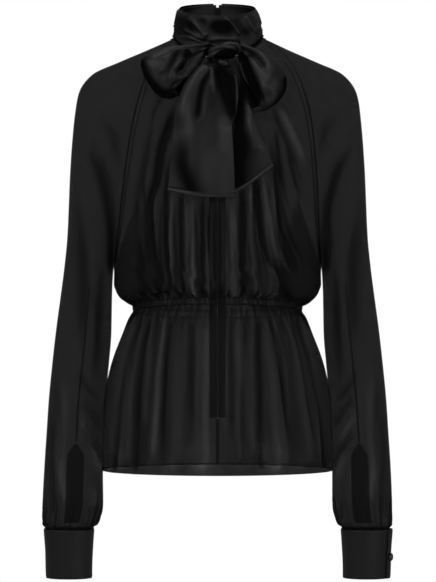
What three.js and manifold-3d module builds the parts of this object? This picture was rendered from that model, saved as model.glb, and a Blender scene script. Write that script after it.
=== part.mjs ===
// A sheer high-neck blouse with raglan sleeves, a gathered waist, a peplum and a tied satin bow,
// filled out as if worn. Millimetres, +Z up, front towards -Y, origin at the middle of the neck's base.
import * as THREE from "three";
import { mergeVertices } from "three/addons/utils/BufferGeometryUtils.js";
import Module from "manifold-3d";

const wasm = await Module();
wasm.setup();

const clothThickness = 1.2;
const casingThickness = 2.4;
const cuffThickness = 1.5;
const trimThickness = 1.0;
const seamGap = 0.3;
const layerGap = 0.45; // between pieces that lie on each other
const sideY = 2; // the side seams and the shoulder points
const zipHalfGap = 1.5;
const collarHalfGap = 4.6;
const zipEndZ = -548;
const casingHeight = 7.5;
const waistTilt = 0.12; // the waist rises towards the front
const frontColumns = 40;
const backColumns = 12;

const degree = Math.PI / 180;
const sides = [{ name: "left", sign: -1 }, { name: "right", sign: 1 }];

function rows(columns, values) {
  const keys = columns.split(" ");
  return values.map((row) => Object.fromEntries(keys.map((key, i) => [key, row[i]])));
}

// A smooth curve through two columns of a table that never overshoots between its rows.
function curve(table, by, key) {
  const sorted = [...table].sort((a, b) => a[by] - b[by]);
  const x = sorted.map((row) => row[by]);
  const y = sorted.map((row) => row[key]);
  const last = x.length - 1;
  const rise = (i) => (y[i + 1] - y[i]) / (x[i + 1] - x[i]);
  const slope = x.map((_, i) => {
    if (i === 0) return rise(0);
    if (i === last) return rise(last - 1);
    const before = rise(i - 1);
    const after = rise(i);
    return before * after <= 0 ? 0 : (2 * before * after) / (before + after);
  });
  return (at) => {
    if (at <= x[0]) return y[0];
    if (at >= x[last]) return y[last];
    let i = 0;
    while (at > x[i + 1]) i += 1;
    const span = x[i + 1] - x[i];
    const t = (at - x[i]) / span;
    const keep = (1 + 2 * t) * (1 - t) ** 2 * y[i] + t * t * (3 - 2 * t) * y[i + 1];
    return keep + span * (t * (1 - t) ** 2 * slope[i] - t * t * (1 - t) * slope[i + 1]);
  };
}

const smooth = (from, to, at) => {
  const t = THREE.MathUtils.clamp((at - from) / (to - from), 0, 1);
  return t * t * (3 - 2 * t);
};
const bell = (distance, width) => Math.exp(-((distance / width) ** 2));
const range = (count, from, to) => (
  Array.from({ length: count + 1 }, (_, i) => from + ((to - from) * i) / count)
);

// Torso

const chest = rows("z front", [
  [-28, -52], [-45, -61], [-70, -76], [-100, -92], [-135, -104],
  [-175, -110], [-230, -111], [-280, -110], [-318, -110],
]);
const shoulderBlades = rows("z back", [
  [8, 46], [-10, 58], [-35, 72], [-70, 84], [-110, 92],
  [-150, 94], [-200, 91], [-260, 88], [-318, 90],
]);
// How far each cross-row has turned where it meets the raglan seam, by the angle around the seam.
const seamTurn = rows("angle front back", [
  [20, 74, 76], [55, 58, 62], [100, 56, 60], [140, 66, 68], [180, 88, 88],
]);
// The bodice blouses over the waist: side seam, centre front and centre back, row by row.
const blousing = rows("sideX sideZ frontY frontZ backY backZ", [
  [147.3, -336, -110.5, -333, 91.5, -340],
  [147.6, -350, -110, -346, 93.5, -356],
  [146.2, -360, -107.5, -355, 93, -367],
  [142, -368, -103, -361, 91, -375],
  [134, -374.5, -97, -365.6, 88, -382],
  [126, -378.8, -91.5, -368.5, 85.5, -387.6],
  [120.5, -380.5, -88, -369.7, 84, -390.3],
]);
const peplumRows = rows("sideX sideZ frontY backY", [
  [120, 0, -88, 84],
  [128.5, -13.5, -92.5, 89],
  [138, -36, -99, 97],
  [147.8, -62, -105.5, 105],
  [155.2, -90, -110.5, 112],
  [160.5, -115, -114.5, 117.5],
  [163, -152, -119.5, 123.5],
  [164.3, -191, -123.5, 127.5],
  [165.2, -229.4, -127, 130],
]);

// Sleeves: the line along the shoulder and outer arm, the line under the arm, and the depths between.
const sleeveRings = rows("topX topZ underX underZ centreY front back bulge round", [
  [63, 2, 148, -318, 2, 70, 66, 36, 1.25],
  [98, -13, 148.6, -321.4, 1, 71, 67, 33, 1.22],
  [140, -30.5, 149.1, -324.8, 0, 71, 67, 27, 1.18],
  [180, -49, 149.5, -328.3, -1, 70, 66, 20, 1.14],
  [198.5, -74, 149.9, -332, -3, 68, 64, 14, 1.1],
  [204.5, -105, 150.2, -335.8, -5, 65, 62, 9, 1.06],
  [208.6, -145, 150.4, -339.8, -7, 63, 60, 5, 1.03],
  [211.6, -190, 150.6, -344.2, -9, 61, 59, 2, 1],
  [213.4, -235, 150.8, -349.5, -11, 60, 58, 0, 1],
  [215.4, -282, 151, -357, -14, 58, 57, 0, 1],
  [219.4, -325, 151.2, -368, -17, 56, 55, 0, 1],
  [225, -370, 151.4, -388, -21, 54, 53, 0, 1],
  [230.8, -415, 151.8, -420, -26, 51, 50, 0, 1],
  [236.2, -465, 155.5, -468, -31, 49, 48, 0, 1],
  [240.8, -515, 160, -516, -35, 47, 46, 0, 1],
  [243.8, -562, 162.5, -562, -38, 46, 45, 0, 1],
  [246.6, -608, 163.3, -608, -41, 45, 44, 0, 1],
  [248.2, -648, 163.4, -648, -43, 43, 42, 0, 1],
  [248.5, -668, 164.2, -667, -44, 40, 39, 0, 1],
  [248.2, -684, 168, -683, -45, 36, 35, 0, 1],
  [247.8, -697.5, 174.8, -697.5, -46, 30.6, 30.6, 0, 1],
]);
const seamBulge = { left: 0.65, right: 1 }; // the left raglan seam runs nearer the centre
const seamSteps = 9;
const neckAngle = 20;
const sleeveAngles = [
  ...range(seamSteps, neckAngle, 180),
  ...range(seamSteps, 180, 360 - neckAngle).slice(1),
  360,
];
const frontAngles = range(seamSteps, neckAngle, 180);

// Folds. A trough has a negative depth. Each row gives where a fold runs at four heights.
const bodiceFolds = rows("startZ highX middleX lowX waistX depth width", [
  [-150, -112, -118, -120, -112, -4, 9],
  [-90, -76, -92, -94, -84, -9, 10],
  [-215, -70, -74, -76, -70, -4, 7],
  [-215, -52, -53, -53, -50, -5, 7],
  [-230, -34, -35, -34, -34, 3, 6],
  [-215, -20, -21, -21, -21, -5, 7],
  [-225, 0, 0, 0, -2, -4, 6],
  [-225, 16, 17, 20, 22, 4, 8],
  [-200, 36, 37, 38, 38, -6, 7],
  [-150, 50, 55, 66, 72, -6, 8],
  [-120, 56, 72, 90, 96, -7, 8],
  [-90, 62, 90, 112, 112, -5, 9],
  [-140, 100, 118, 128, 122, -3, 9],
]);
const peplumFolds = rows("topX middleX hemX depth width endZ", [
  [-110, -128, -146, -6, 9, -700],
  [-93, -108, -116, -7, 9, -700],
  [-84, -90, -94, -4, 6, -480],
  [-63, -72, -77, -6, 8, -700],
  [-35, -37, -44, -6, 8, -700],
  [-14, -18, -20, 4, 9, -700],
  [19, 20, 18, -6, 8, -700],
  [39, 40, 42, -4, 6, -470],
  [56, 59, 61, -6, 8, -700],
  [70, 90, 109, -7, 9, -700],
  [84, 103, 110, -4, 6, -460],
  [108, 128, 148, -6, 9, -700],
]);

const chestFront = curve(chest, "z", "front");
const bladesBack = curve(shoulderBlades, "z", "back");
const turnFront = curve(seamTurn, "angle", "front");
const turnBack = curve(seamTurn, "angle", "back");
const numberedRings = sleeveRings.map((ring, station) => ({ ...ring, station }));
const ringCurves = Object.fromEntries(
  Object.keys(sleeveRings[0]).map((key) => [key, curve(numberedRings, "station", key)]),
);
const stationAt = curve(numberedRings.slice(12), "topZ", "station");

// A point on a sleeve: 0 degrees is the shoulder and outer arm, 90 the front, 180 under the arm.
function sleevePoint(side, station, angle) {
  const ring = (key) => ringCurves[key](station);
  const cos = Math.cos(angle * degree);
  const sin = Math.sin(angle * degree);
  const down = ((1 - cos) / 2) ** ring("round");
  const acrossX = ring("underX") - ring("topX");
  const acrossZ = ring("underZ") - ring("topZ");
  const length = Math.hypot(acrossX, acrossZ);
  const bulge = (ring("bulge") * seamBulge[side.name] * sin * sin * (1 + 0.5 * cos)) / length;
  const depth = sin > 0 ? ring("front") : ring("back");
  return new THREE.Vector3(
    side.sign * (ring("topX") + acrossX * down - acrossZ * bulge),
    ring("centreY") - depth * sin,
    ring("topZ") + acrossZ * down + acrossX * bulge,
  );
}

// One cross-row of the torso, from its side end (u = 1) to the centre (u = 0).
function torsoPoint(end, centreY, centreZ, turn, u) {
  const most = turn * degree;
  const inward = (Math.cos(u * most) - Math.cos(most)) / (1 - Math.cos(most));
  return new THREE.Vector3(
    (end.x * Math.sin(u * most)) / Math.sin(most),
    end.y + (centreY - end.y) * inward,
    end.z + (centreZ - end.z) * inward,
  );
}

function seamRow(side, angle, front) {
  const top = sleevePoint(side, 0, neckAngle).z;
  const under = sleevePoint(side, 0, 180).z;
  const end = sleevePoint(side, 0, front ? angle : 360 - angle);
  const down = (end.z - top) / (under - top);
  const centreZ = THREE.MathUtils.lerp(front ? chest[0].z : shoulderBlades[0].z, under, down);
  const centreY = front ? chestFront(centreZ) : bladesBack(centreZ);
  return { end, centreY, centreZ, turn: front ? turnFront(angle) : turnBack(angle) };
}

function blouseRow(side, row, front) {
  const end = new THREE.Vector3(side.sign * row.sideX, sideY, row.sideZ);
  return {
    end,
    centreY: front ? row.frontY : row.backY,
    centreZ: front ? row.frontZ : row.backZ,
    turn: 90,
  };
}

const waist = blousing.at(-1);
const casingTopZ = waist.sideZ - seamGap;
const casingBottomZ = casingTopZ - casingHeight;
const peplumTopZ = casingBottomZ - seamGap;

function peplumRow(side, row, front) {
  const z = peplumTopZ + row.sideZ;
  const tilt = waistTilt * (1 - smooth(0, -150, row.sideZ));
  const centreY = front ? row.frontY : row.backY;
  return {
    end: new THREE.Vector3(side.sign * row.sideX, sideY, z),
    centreY,
    centreZ: z - tilt * (centreY - sideY),
    turn: 90,
  };
}

function torsoRows(side, front) {
  return [
    ...frontAngles.map((angle) => seamRow(side, angle, front)),
    ...blousing.map((row) => blouseRow(side, row, front)),
  ];
}

// Grids: an array of rows of points, rows running down, columns anticlockwise seen from above.

function normals(grid, ring, flip) {
  return grid.map((row, i) => row.map((_, j) => {
    const last = row.length - 1;
    const above = grid[Math.max(i - 1, 0)][j];
    const below = grid[Math.min(i + 1, grid.length - 1)][j];
    const before = row[ring ? (j + last) % (last + 1) : Math.max(j - 1, 0)];
    const after = row[ring ? (j + 1) % (last + 1) : Math.min(j + 1, last)];
    const across = after.clone().sub(before);
    const normal = below.clone().sub(above).cross(across).normalize();
    return flip ? normal.negate() : normal;
  }));
}

function pushed(grid, ring, flip, amount) {
  const out = normals(grid, ring, flip);
  return grid.map((row, i) => row.map((point, j) => (
    point.clone().addScaledVector(out[i][j], amount(point, i, j))
  )));
}

const trimEdge = (grid, rowEdge, columnEdge) => {
  const pull = (point, towards, gap) => point.add(towards.clone().sub(point).setLength(gap));
  const copy = grid.map((row) => row.map((point) => point.clone()));
  for (const [edge, gap] of Object.entries(columnEdge)) {
    copy.forEach((row, i) => {
      const at = edge === "first" ? 0 : row.length - 1;
      pull(row[at], grid[i][edge === "first" ? 1 : at - 1], gap);
    });
  }
  for (const [edge, gap] of Object.entries(rowEdge)) {
    const at = edge === "first" ? 0 : grid.length - 1;
    copy[at].forEach((point, j) => pull(point, grid[edge === "first" ? 1 : at - 1][j], gap));
  }
  return copy;
};

// A closed wall of cloth: the grid is its outer face, and its inner face lies one thickness behind.
function clothWall(grid, thickness, { ring = false, flip = false, out = normals(grid, ring, flip) } = {}) {
  const columns = grid[0].length;
  const inner = grid.map((row, i) => row.map((point, j) => (
    point.clone().addScaledVector(out[i][j], -thickness)
  )));
  const positions = [...grid.flat(), ...inner.flat()].flatMap((point) => point.toArray());
  const outer = (i, j) => i * columns + (j % columns);
  const under = (i, j) => outer(i, j) + grid.length * columns;
  const index = [];
  const quad = (a, b, c, d) => index.push(a, b, c, a, c, d);
  const wraps = ring ? columns : columns - 1;
  for (let i = 0; i < grid.length - 1; i += 1) {
    for (let j = 0; j < wraps; j += 1) {
      quad(outer(i, j), outer(i + 1, j), outer(i + 1, j + 1), outer(i, j + 1));
      quad(under(i, j), under(i, j + 1), under(i + 1, j + 1), under(i + 1, j));
    }
    if (!ring) {
      const end = columns - 1;
      quad(outer(i, 0), under(i, 0), under(i + 1, 0), outer(i + 1, 0));
      quad(outer(i, end), outer(i + 1, end), under(i + 1, end), under(i, end));
    }
  }
  const low = grid.length - 1;
  for (let j = 0; j < wraps; j += 1) {
    quad(outer(0, j), outer(0, j + 1), under(0, j + 1), under(0, j));
    quad(outer(low, j), under(low, j), under(low, j + 1), outer(low, j + 1));
  }
  if (flip) index.reverse();
  const geometry = new THREE.BufferGeometry();
  geometry.setAttribute("position", new THREE.Float32BufferAttribute(positions, 3));
  geometry.setIndex(index);
  return geometry;
}

// Fold shapes

function foldHeight(folds, x, z, levels, ends) {
  return folds.reduce((sum, fold) => {
    const path = curve(levels.map(([level, key]) => ({ z: level, x: fold[key] })), "z", "x");
    return sum + fold.depth * bell(x - path(z), fold.width) * ends(fold, z);
  }, 0);
}

const bodiceLevels = [[-120, "highX"], [-200, "middleX"], [-300, "lowX"], [-368, "waistX"]];
const peplumLevels = [[-380, "topX"], [-500, "middleX"], [-618, "hemX"]];

function bodiceRelief(point, column, fromWaist) {
  const started = (fold, z) => smooth(fold.startZ + 12, fold.startZ - 50, z);
  const folds = foldHeight(bodiceFolds, point.x, point.z, bodiceLevels, started);
  const pucker = (column % 2 ? -1.6 : 1.6) * smooth(4.5, 2, fromWaist);
  return folds * smooth(0, 3, fromWaist) + pucker * smooth(0, 1, fromWaist);
}

function peplumRelief(point, fromTop) {
  const going = (fold, z) => smooth(fold.endZ - 25, fold.endZ + 25, z);
  const folds = foldHeight(peplumFolds, point.x, point.z, peplumLevels, going);
  return folds * smooth(0, 2.5, fromTop) * (0.75 + fromTop / 16);
}

// Similar, smaller folds across the back, where the photograph doesn't reach.
const backFolds = rows("topX hemX depth", [
  [28, 34, -4], [46, 57, -5], [66, 84, -5], [86, 112, -5], [104, 138, -4],
]);

function backRelief(point, grow) {
  const down = THREE.MathUtils.clamp((-380 - point.z) / 238, 0, 1);
  const up = THREE.MathUtils.clamp((-230 - point.z) / 110, 0, 1);
  const reach = point.z > -380 ? up : 1;
  return backFolds.reduce((sum, fold) => {
    const at = fold.topX + (fold.hemX - fold.topX) * down;
    return sum + fold.depth * bell(Math.abs(point.x) - at, 7 + 4 * down);
  }, 0) * reach * grow;
}

const seamFade = (u) => smooth(1, 0.9, Math.abs(u));

function frontPanel(rowsOf, relief) {
  const left = rowsOf(sides[0]);
  const right = rowsOf(sides[1]);
  const across = range(frontColumns, -1, 1);
  const grid = left.map((row, i) => across.map((u) => {
    const half = u < 0 ? row : right[i];
    return torsoPoint(half.end, half.centreY, half.centreZ, half.turn, Math.abs(u));
  }));
  return pushed(grid, false, false, (point, i, j) => relief(point, i, j) * seamFade(across[j]));
}

function backPanel(side, rowsOf, relief) {
  const halfGap = (row) => (row.centreZ > zipEndZ ? zipHalfGap : seamGap / 2);
  const grid = rowsOf(side).map((row) => {
    const first = (Math.asin((halfGap(row) / Math.abs(row.end.x)) * Math.sin(row.turn * degree))
      / (row.turn * degree));
    const across = range(backColumns, first, 1);
    const points = across.map((u) => torsoPoint(row.end, row.centreY, row.centreZ, row.turn, u));
    return side.sign > 0 ? points.reverse() : points;
  });
  return pushed(grid, false, false, (point, i, j) => {
    const u = (side.sign > 0 ? backColumns - j : j) / backColumns;
    return relief(point, i) * seamFade(u) * smooth(14, 30, Math.abs(point.x));
  });
}

const bodiceRowCount = frontAngles.length + blousing.length;
const fromWaist = (i) => bodiceRowCount - 1 - i;

const bodiceFront = frontPanel(
  (side) => torsoRows(side, true),
  (point, i, j) => bodiceRelief(point, j, fromWaist(i)),
);
const bodiceBacks = sides.map((side) => backPanel(
  side,
  (half) => torsoRows(half, false),
  (point, i) => backRelief(point, smooth(0, 3, fromWaist(i))),
));
const peplumFront = frontPanel(
  (side) => peplumRows.map((row) => peplumRow(side, row, true)),
  (point, i) => peplumRelief(point, i),
);
const peplumBacks = sides.map((side) => backPanel(
  side,
  (half) => peplumRows.map((row) => peplumRow(half, row, false)),
  (point, i) => backRelief(point, smooth(0, 2.5, i)),
));

// Sleeve creases: soft lengthwise folds, slanting ones above the cuff, and gathers at the cuff.
const sleeveFolds = rows("angle topZ bottomZ slant depth width", [
  [62, -150, -330, 0.05, -3, 12],
  [118, -130, -352, 0.0, -4, 12],
  [95, -560, -600, -0.5, -3, 12],
  [120, -600, -640, -0.5, -3, 12],
  [45, -330, -520, 0.03, -2.5, 14],
  [240, -200, -420, 0.0, -3, 14],
  [300, -380, -600, 0.03, -3, 14],
]);
const placketAngle = 270;
const placketHalfAngle = 17;

function sleeveRelief(point, station, angle, column) {
  const soft = sleeveFolds.reduce((sum, fold) => {
    const at = fold.angle + fold.slant * (point.z - fold.topZ);
    const reach = smooth(fold.topZ + 30, fold.topZ - 20, point.z)
      * smooth(fold.bottomZ - 30, fold.bottomZ + 20, point.z);
    return sum + fold.depth * bell(angle - at, fold.width) * reach;
  }, 0);
  const gather = (column % 2 ? -1.7 : 1.7) * smooth(16.2, 18.5, station) * smooth(20, 19.2, station);
  const flat = smooth(placketHalfAngle + 2, placketHalfAngle + 20, Math.abs(angle - placketAngle));
  return (soft + gather) * flat;
}

const sleeves = sides.map((side) => {
  const grid = sleeveRings.map((_, station) => (
    sleeveAngles.map((angle) => sleevePoint(side, station, angle))
  ));
  return pushed(grid, true, side.sign > 0, (point, station, column) => {
    if (station === 0) return 0;
    return sleeveRelief(point, station, sleeveAngles[column], column);
  });
});

// Where two pieces are sewn together, both inner faces lie behind one shared direction.
const sleeveOut = sides.map((side, s) => normals(sleeves[s], true, side.sign > 0));
const frontOut = normals(bodiceFront, false, false);
const backOut = bodiceBacks.map((grid) => normals(grid, false, false));

function share(a, b) {
  const mean = a.clone().add(b).normalize();
  a.copy(mean);
  b.copy(mean);
}

sides.forEach((side, s) => {
  const frontEnd = side.sign < 0 ? 0 : frontColumns;
  const backEnd = side.sign < 0 ? backColumns : 0;
  for (let i = 0; i < bodiceRowCount; i += 1) {
    if (i < seamSteps) {
      share(frontOut[i][frontEnd], sleeveOut[s][0][i]);
      share(backOut[s][i][backEnd], sleeveOut[s][0][2 * seamSteps - i]);
    } else {
      share(frontOut[i][frontEnd], backOut[s][i][backEnd]);
    }
  }
});

const half = seamGap / 2;
const backSeamEdge = (side) => (side.sign < 0 ? { last: half } : { first: half });

// Neck

function necklinePoints() {
  const samples = range(16, 0, 1);
  const loop = [];
  for (const side of sides) {
    for (const front of [true, false]) {
      const row = seamRow(side, neckAngle, front);
      for (const u of samples) {
        loop.push(torsoPoint(row.end, row.centreY, row.centreZ, row.turn, u));
      }
    }
    for (const angle of range(8, neckAngle, -neckAngle)) {
      loop.push(sleevePoint(side, 0, (angle + 360) % 360));
    }
  }
  return loop.map((point) => ({
    angle: (Math.atan2(point.y, point.x) / degree + 360) % 360,
    x: point.x,
    y: point.y,
    z: point.z,
  })).sort((a, b) => a.angle - b.angle)
    .filter((point, i, all) => i === 0 || point.angle - all[i - 1].angle > 0.01);
}

const neckline = necklinePoints();
const wrapped = [
  ...neckline.slice(-3).map((point) => ({ ...point, angle: point.angle - 360 })),
  ...neckline,
  ...neckline.slice(0, 3).map((point) => ({ ...point, angle: point.angle + 360 })),
];
const necklineAt = Object.fromEntries(["x", "y", "z"].map((key) => [key, curve(wrapped, "angle", key)]));

const rim = { halfWidth: 53, front: -53, back: 42, frontZ: 31, backZ: 58 };
const neckProfile = rows("up inward", [
  [0, 0], [0.12, 0.4], [0.3, 0.54], [0.6, 0.6], [0.85, 0.76], [1, 1],
]);
const neckInward = curve(neckProfile, "up", "inward");

// A point of the stand collar: up is 0 at the neckline and 1 at the rim.
function neckPoint(up, angle) {
  const turn = (angle + 360) % 360;
  const base = new THREE.Vector3(necklineAt.x(turn), necklineAt.y(turn), necklineAt.z(turn) + seamGap + 0.6);
  const sin = Math.sin(turn * degree);
  const y = sin * (sin > 0 ? rim.back : -rim.front);
  const top = new THREE.Vector3(
    rim.halfWidth * Math.cos(turn * degree),
    y,
    THREE.MathUtils.mapLinear(y, rim.front, rim.back, rim.frontZ, rim.backZ),
  );
  const inward = neckInward(up);
  return new THREE.Vector3(
    THREE.MathUtils.lerp(base.x, top.x, inward),
    THREE.MathUtils.lerp(base.y, top.y, inward),
    THREE.MathUtils.lerp(base.z, top.z, up),
  );
}

const openAngle = (halfGap) => Math.asin(halfGap / rim.back) / degree;

function neckBand() {
  const open = openAngle(zipHalfGap);
  const around = range(30, 90 + open, 450 - open);
  return [0.96, 0.6, 0.28, 0.1, 0].map((up) => around.map((angle) => neckPoint(up, angle)));
}

// Creases of the draped collar: each slants from the rim towards the bow.
const drapeFolds = rows("rimAngle baseAngle depth width", [
  [226, 262, 2.4, 6], [240, 268, -1.6, 4], [252, 270, 1.8, 4],
  [296, 278, 3.0, 5], [284, 276, -1.8, 4], [312, 282, -1.6, 5], [326, 290, 2.6, 7],
  [342, 325, 1.4, 6], [14, 356, 1.2, 6], [190, 205, 1.2, 7], [60, 40, 1.6, 8], [130, 148, 1.6, 8],
]);
const drapeGap = 0.75; // between the band and the draped collar over it
const drapeOut = clothThickness + drapeGap;
const drapeFullness = { sides: 1.5, underKnot: 3.5, knotAngle: 278, spread: 30 };

function drapeRelief(up, angle) {
  const { sides: least, underKnot, knotAngle, spread } = drapeFullness;
  const fullness = THREE.MathUtils.lerp(least, underKnot, bell(angle - knotAngle, spread));
  return drapeFolds.reduce((sum, fold) => {
    const at = THREE.MathUtils.lerp(fold.baseAngle, fold.rimAngle, up);
    const away = ((angle - at + 540) % 360) - 180;
    return sum + fold.depth * bell(away, fold.width);
  }, fullness) * smooth(1.01, 0.75, up) * smooth(-0.2, 0.25, up);
}

function neckDrape() {
  const open = openAngle(collarHalfGap);
  const ease = (t) => t - 0.07 * Math.sin(2 * Math.PI * 2 * t) / 2;
  const around = range(40, 0, 1).map((t) => 90 + open + (360 - 2 * open) * ease(t));
  const levels = [1, 0.84, 0.62, 0.4, 0.2, 0.06];
  const grid = levels.map((up) => around.map((angle) => neckPoint(up, angle)));
  return pushed(grid, false, false, (_, i, j) => (
    drapeOut + Math.max(drapeRelief(levels[i], around[j]), 0)
  ));
}

// Bow. A loop is a fan of teardrops that leave the knot, from its upper edge to its lower edge.
const knot = { x: 8, y: -72.7, z: -18, halfWidth: 23, halfDepth: 13.5, halfHeight: 12 };
const bowLoops = {
  left: rows("angle length depth fromX fromZ centreY", [
    [185.5, 72, 6, -6.5, -10, -84],
    [189, 89, 12, -7.8, -12, -87],
    [194.5, 102, 16, -9, -14, -90],
    [202, 101, 18, -10.4, -16.5, -92],
    [211, 97, 18, -12.8, -18.8, -93],
    [221, 93, 16, -15.2, -21.8, -91],
    [231, 82, 11, -16.8, -25, -89],
    [237, 66, 6, -17, -28, -87],
  ]),
  right: rows("angle length depth fromX fromZ centreY", [
    [-27, 60, 6, 27.5, -5.5, -90],
    [-31, 73, 12, 29, -8, -94],
    [-37.5, 85, 16, 30, -11, -99],
    [-45.5, 92.5, 18, 30.4, -14, -104],
    [-54.5, 95, 18, 30.6, -17, -107],
    [-63, 94, 16, 30.3, -20.5, -108],
    [-70.5, 90, 11, 29.6, -24, -109],
    [-76.5, 80, 6, 28.6, -27.5, -109],
  ]),
};
const loopColumns = 16;
const loopOpening = 14; // degrees of the loop that the knot holds

function bowLoop(table) {
  return table.map((row) => range(loopColumns, loopOpening, 360 - loopOpening).map((angle) => {
    const away = (1 - Math.cos(angle * degree)) / 2;
    const reach = row.length * away;
    const puff = row.depth * Math.sin(angle * degree) * away ** 0.6;
    return new THREE.Vector3(
      row.fromX + reach * Math.cos(row.angle * degree),
      THREE.MathUtils.lerp(knot.y, row.centreY, Math.min(1.4 * away, 1)) - puff,
      row.fromZ + reach * Math.sin(row.angle * degree),
    );
  }));
}

// A tail: its two edges from the knot to the hem, its rearmost plane and how far its waves stand out.
const bowTails = {
  front: rows("leftX leftZ rightX rightZ y wave", [
    [-7, -31.8, 21, -31.2, -75.5, 0.8],
    [-24, -42, 25, -44, -87, 2.5],
    [-40, -60, 28, -62, -94, 4],
    [-53, -85, 30, -85, -101, 4],
    [-60, -112, 26, -108, -107.5, 4],
    [-62, -138, 20, -130, -114, 3.5],
    [-64, -165, 22, -160, -118.5, 3.5],
    [-67, -195, 23.5, -195, -121, 4],
    [-69.8, -220, 24.4, -229, -122.5, 4],
  ]),
  back: rows("leftX leftZ rightX rightZ y wave", [
    [6, -30.8, 26, -30, -73, 0.5],
    [4, -52, 34, -50, -78, 1.5],
    [6, -80, 42, -75, -89, 2],
    [8, -110, 47, -100, -101.5, 2],
    [10, -140, 52, -118, -109, 1.8],
    [11, -172, 59, -138, -113.5, 1.8],
    [12, -205, 69, -162, -116, 1.8],
    [13, -228, 78.5, -185, -117, 1.8],
  ]),
};
const tailColumns = 12;

function bowTail(table, phase) {
  const across = range(tailColumns, 0, 1);
  return table.map((row, i) => across.map((u) => {
    const hemDip = i === table.length - 1 ? -4 * Math.sin(Math.PI * u) : 0;
    return new THREE.Vector3(
      THREE.MathUtils.lerp(row.leftX, row.rightX, u),
      row.y - row.wave * (1 + Math.sin(u * 2.5 * Math.PI + phase)),
      THREE.MathUtils.lerp(row.leftZ, row.rightZ, u) + hemDip,
    );
  }));
}

// The knot is a band that wraps once round the gathered cloth, so it is fuller in the middle.
function bowKnot() {
  const shape = new THREE.SphereGeometry(1, 18, 10);
  const position = shape.attributes.position;
  for (let i = 0; i < position.count; i += 1) {
    const x = position.getX(i);
    const y = position.getY(i);
    const z = position.getZ(i);
    const ridge = 1 + 0.06 * Math.cos(7 * Math.atan2(z, y)) * (1 - x * x);
    position.setXYZ(
      i,
      knot.halfWidth * x,
      knot.halfDepth * y * ridge,
      knot.halfHeight * z * ridge - 4 * x * x + 4 * x,
    );
  }
  return shape;
}

// Cuffs: each wraps once round the wrist and overlaps itself under its button.
const cuffRows = rows("z centreX halfWidth centreY halfDepth", [
  [-697.9, 211.3, 36.2, -46, 30.4],
  [-735, 211.6, 33.8, -46.5, 29.3],
  [-767.5, 211.1, 33, -47, 28.6],
]);
const cuffCurves = Object.fromEntries(
  Object.keys(cuffRows[0]).map((key) => [key, curve(cuffRows, "z", key)]),
);
const cuffEnd = { left: -24, right: 34 }; // where the upper layer ends, degrees towards the front
const cuffOverlap = 44;
const cuffStep = 1.95;

function cuffPoint(side, z, angle, out = 0) {
  const end = cuffEnd[side.name];
  const lift = cuffStep * smooth(end - cuffOverlap - 40, end - cuffOverlap - 4, angle) + out;
  const cos = Math.cos(angle * degree);
  const sin = Math.sin(angle * degree);
  return new THREE.Vector3(
    side.sign * (cuffCurves.centreX(z) + (cuffCurves.halfWidth(z) + lift) * cos),
    cuffCurves.centreY(z) - (cuffCurves.halfDepth(z) + lift) * sin,
    z - seamGap,
  );
}

function cuff(side) {
  const end = cuffEnd[side.name];
  const around = range(30, end, end - 360 - cuffOverlap);
  const grid = range(2, cuffRows[0].z, cuffRows[2].z).map((z) => (
    around.map((angle) => cuffPoint(side, z, angle))
  ));
  return clothWall(grid, cuffThickness, { flip: side.sign < 0 });
}

const button = { radius: 5.6, thickness: 2.6, fromEnd: 13, z: -737 };

function cuffButton(side) {
  const { radius, thickness } = button;
  const outline = [
    [0, 0], [radius * 0.9, 0], [radius, thickness * 0.3], [radius, thickness * 0.7],
    [radius * 0.88, thickness], [radius * 0.62, thickness * 0.95], [0, thickness * 0.75],
  ].map(([x, y]) => new THREE.Vector2(x, y));
  const angle = cuffEnd[side.name] - button.fromEnd;
  const seat = cuffPoint(side, button.z, angle, seamGap);
  const outward = new THREE.Vector3(
    (side.sign * Math.cos(angle * degree)) / cuffCurves.halfWidth(button.z),
    -Math.sin(angle * degree) / cuffCurves.halfDepth(button.z),
    0,
  ).normalize();
  const turned = new THREE.Quaternion().setFromUnitVectors(new THREE.Vector3(0, 1, 0), outward);
  const geometry = new THREE.LatheGeometry(outline, 16).applyQuaternion(turned);
  return geometry.translate(seat.x, seat.y, seat.z);
}

// A placket strip lies on the back of each sleeve, pointed at its top.
const placket = { tipZ: -580, shoulderZ: -592, endZ: -693 };

function sleevePlacket(side) {
  const across = range(4, placketAngle - placketHalfAngle, placketAngle + placketHalfAngle);
  const grid = range(7, 0, 1).map((down) => across.map((angle) => {
    const edge = Math.abs(angle - placketAngle) / placketHalfAngle;
    const top = THREE.MathUtils.lerp(placket.tipZ, placket.shoulderZ, edge);
    const station = stationAt(THREE.MathUtils.lerp(top, placket.endZ, down));
    return sleevePoint(side, station, angle);
  }));
  const flip = side.sign > 0;
  const raised = pushed(grid, false, flip, () => trimThickness + layerGap + 0.2);
  return clothWall(raised, trimThickness, { flip });
}

// Zip: two tapes behind the centre back edges, a slider at the collar and its pull tab.
const zipTape = { halfWidth: 12.3, topZ: 55, clearance: 0.75 };
const tapeBend = rows("z radius", [
  [58, 40], [10, 46], [-40, 110], [-150, 190], [-300, 150], [-385, 95], [-450, 120], [-560, 140],
]);
const tapeRadius = curve(tapeBend, "z", "radius");

function backLine() {
  const collar = range(6, 1, 0).map((up) => neckPoint(up, 90));
  const rowsDown = torsoRows(sides[1], false).map((row) => ({ y: row.centreY, z: row.centreZ }));
  const below = peplumRows.map((row) => peplumRow(sides[1], row, false))
    .map((row) => ({ y: row.centreY, z: row.centreZ }));
  return [...collar, ...rowsDown.slice(1), ...below].map(({ y, z }) => ({ y, z }));
}

const centreBack = curve(backLine(), "z", "y");

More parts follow.
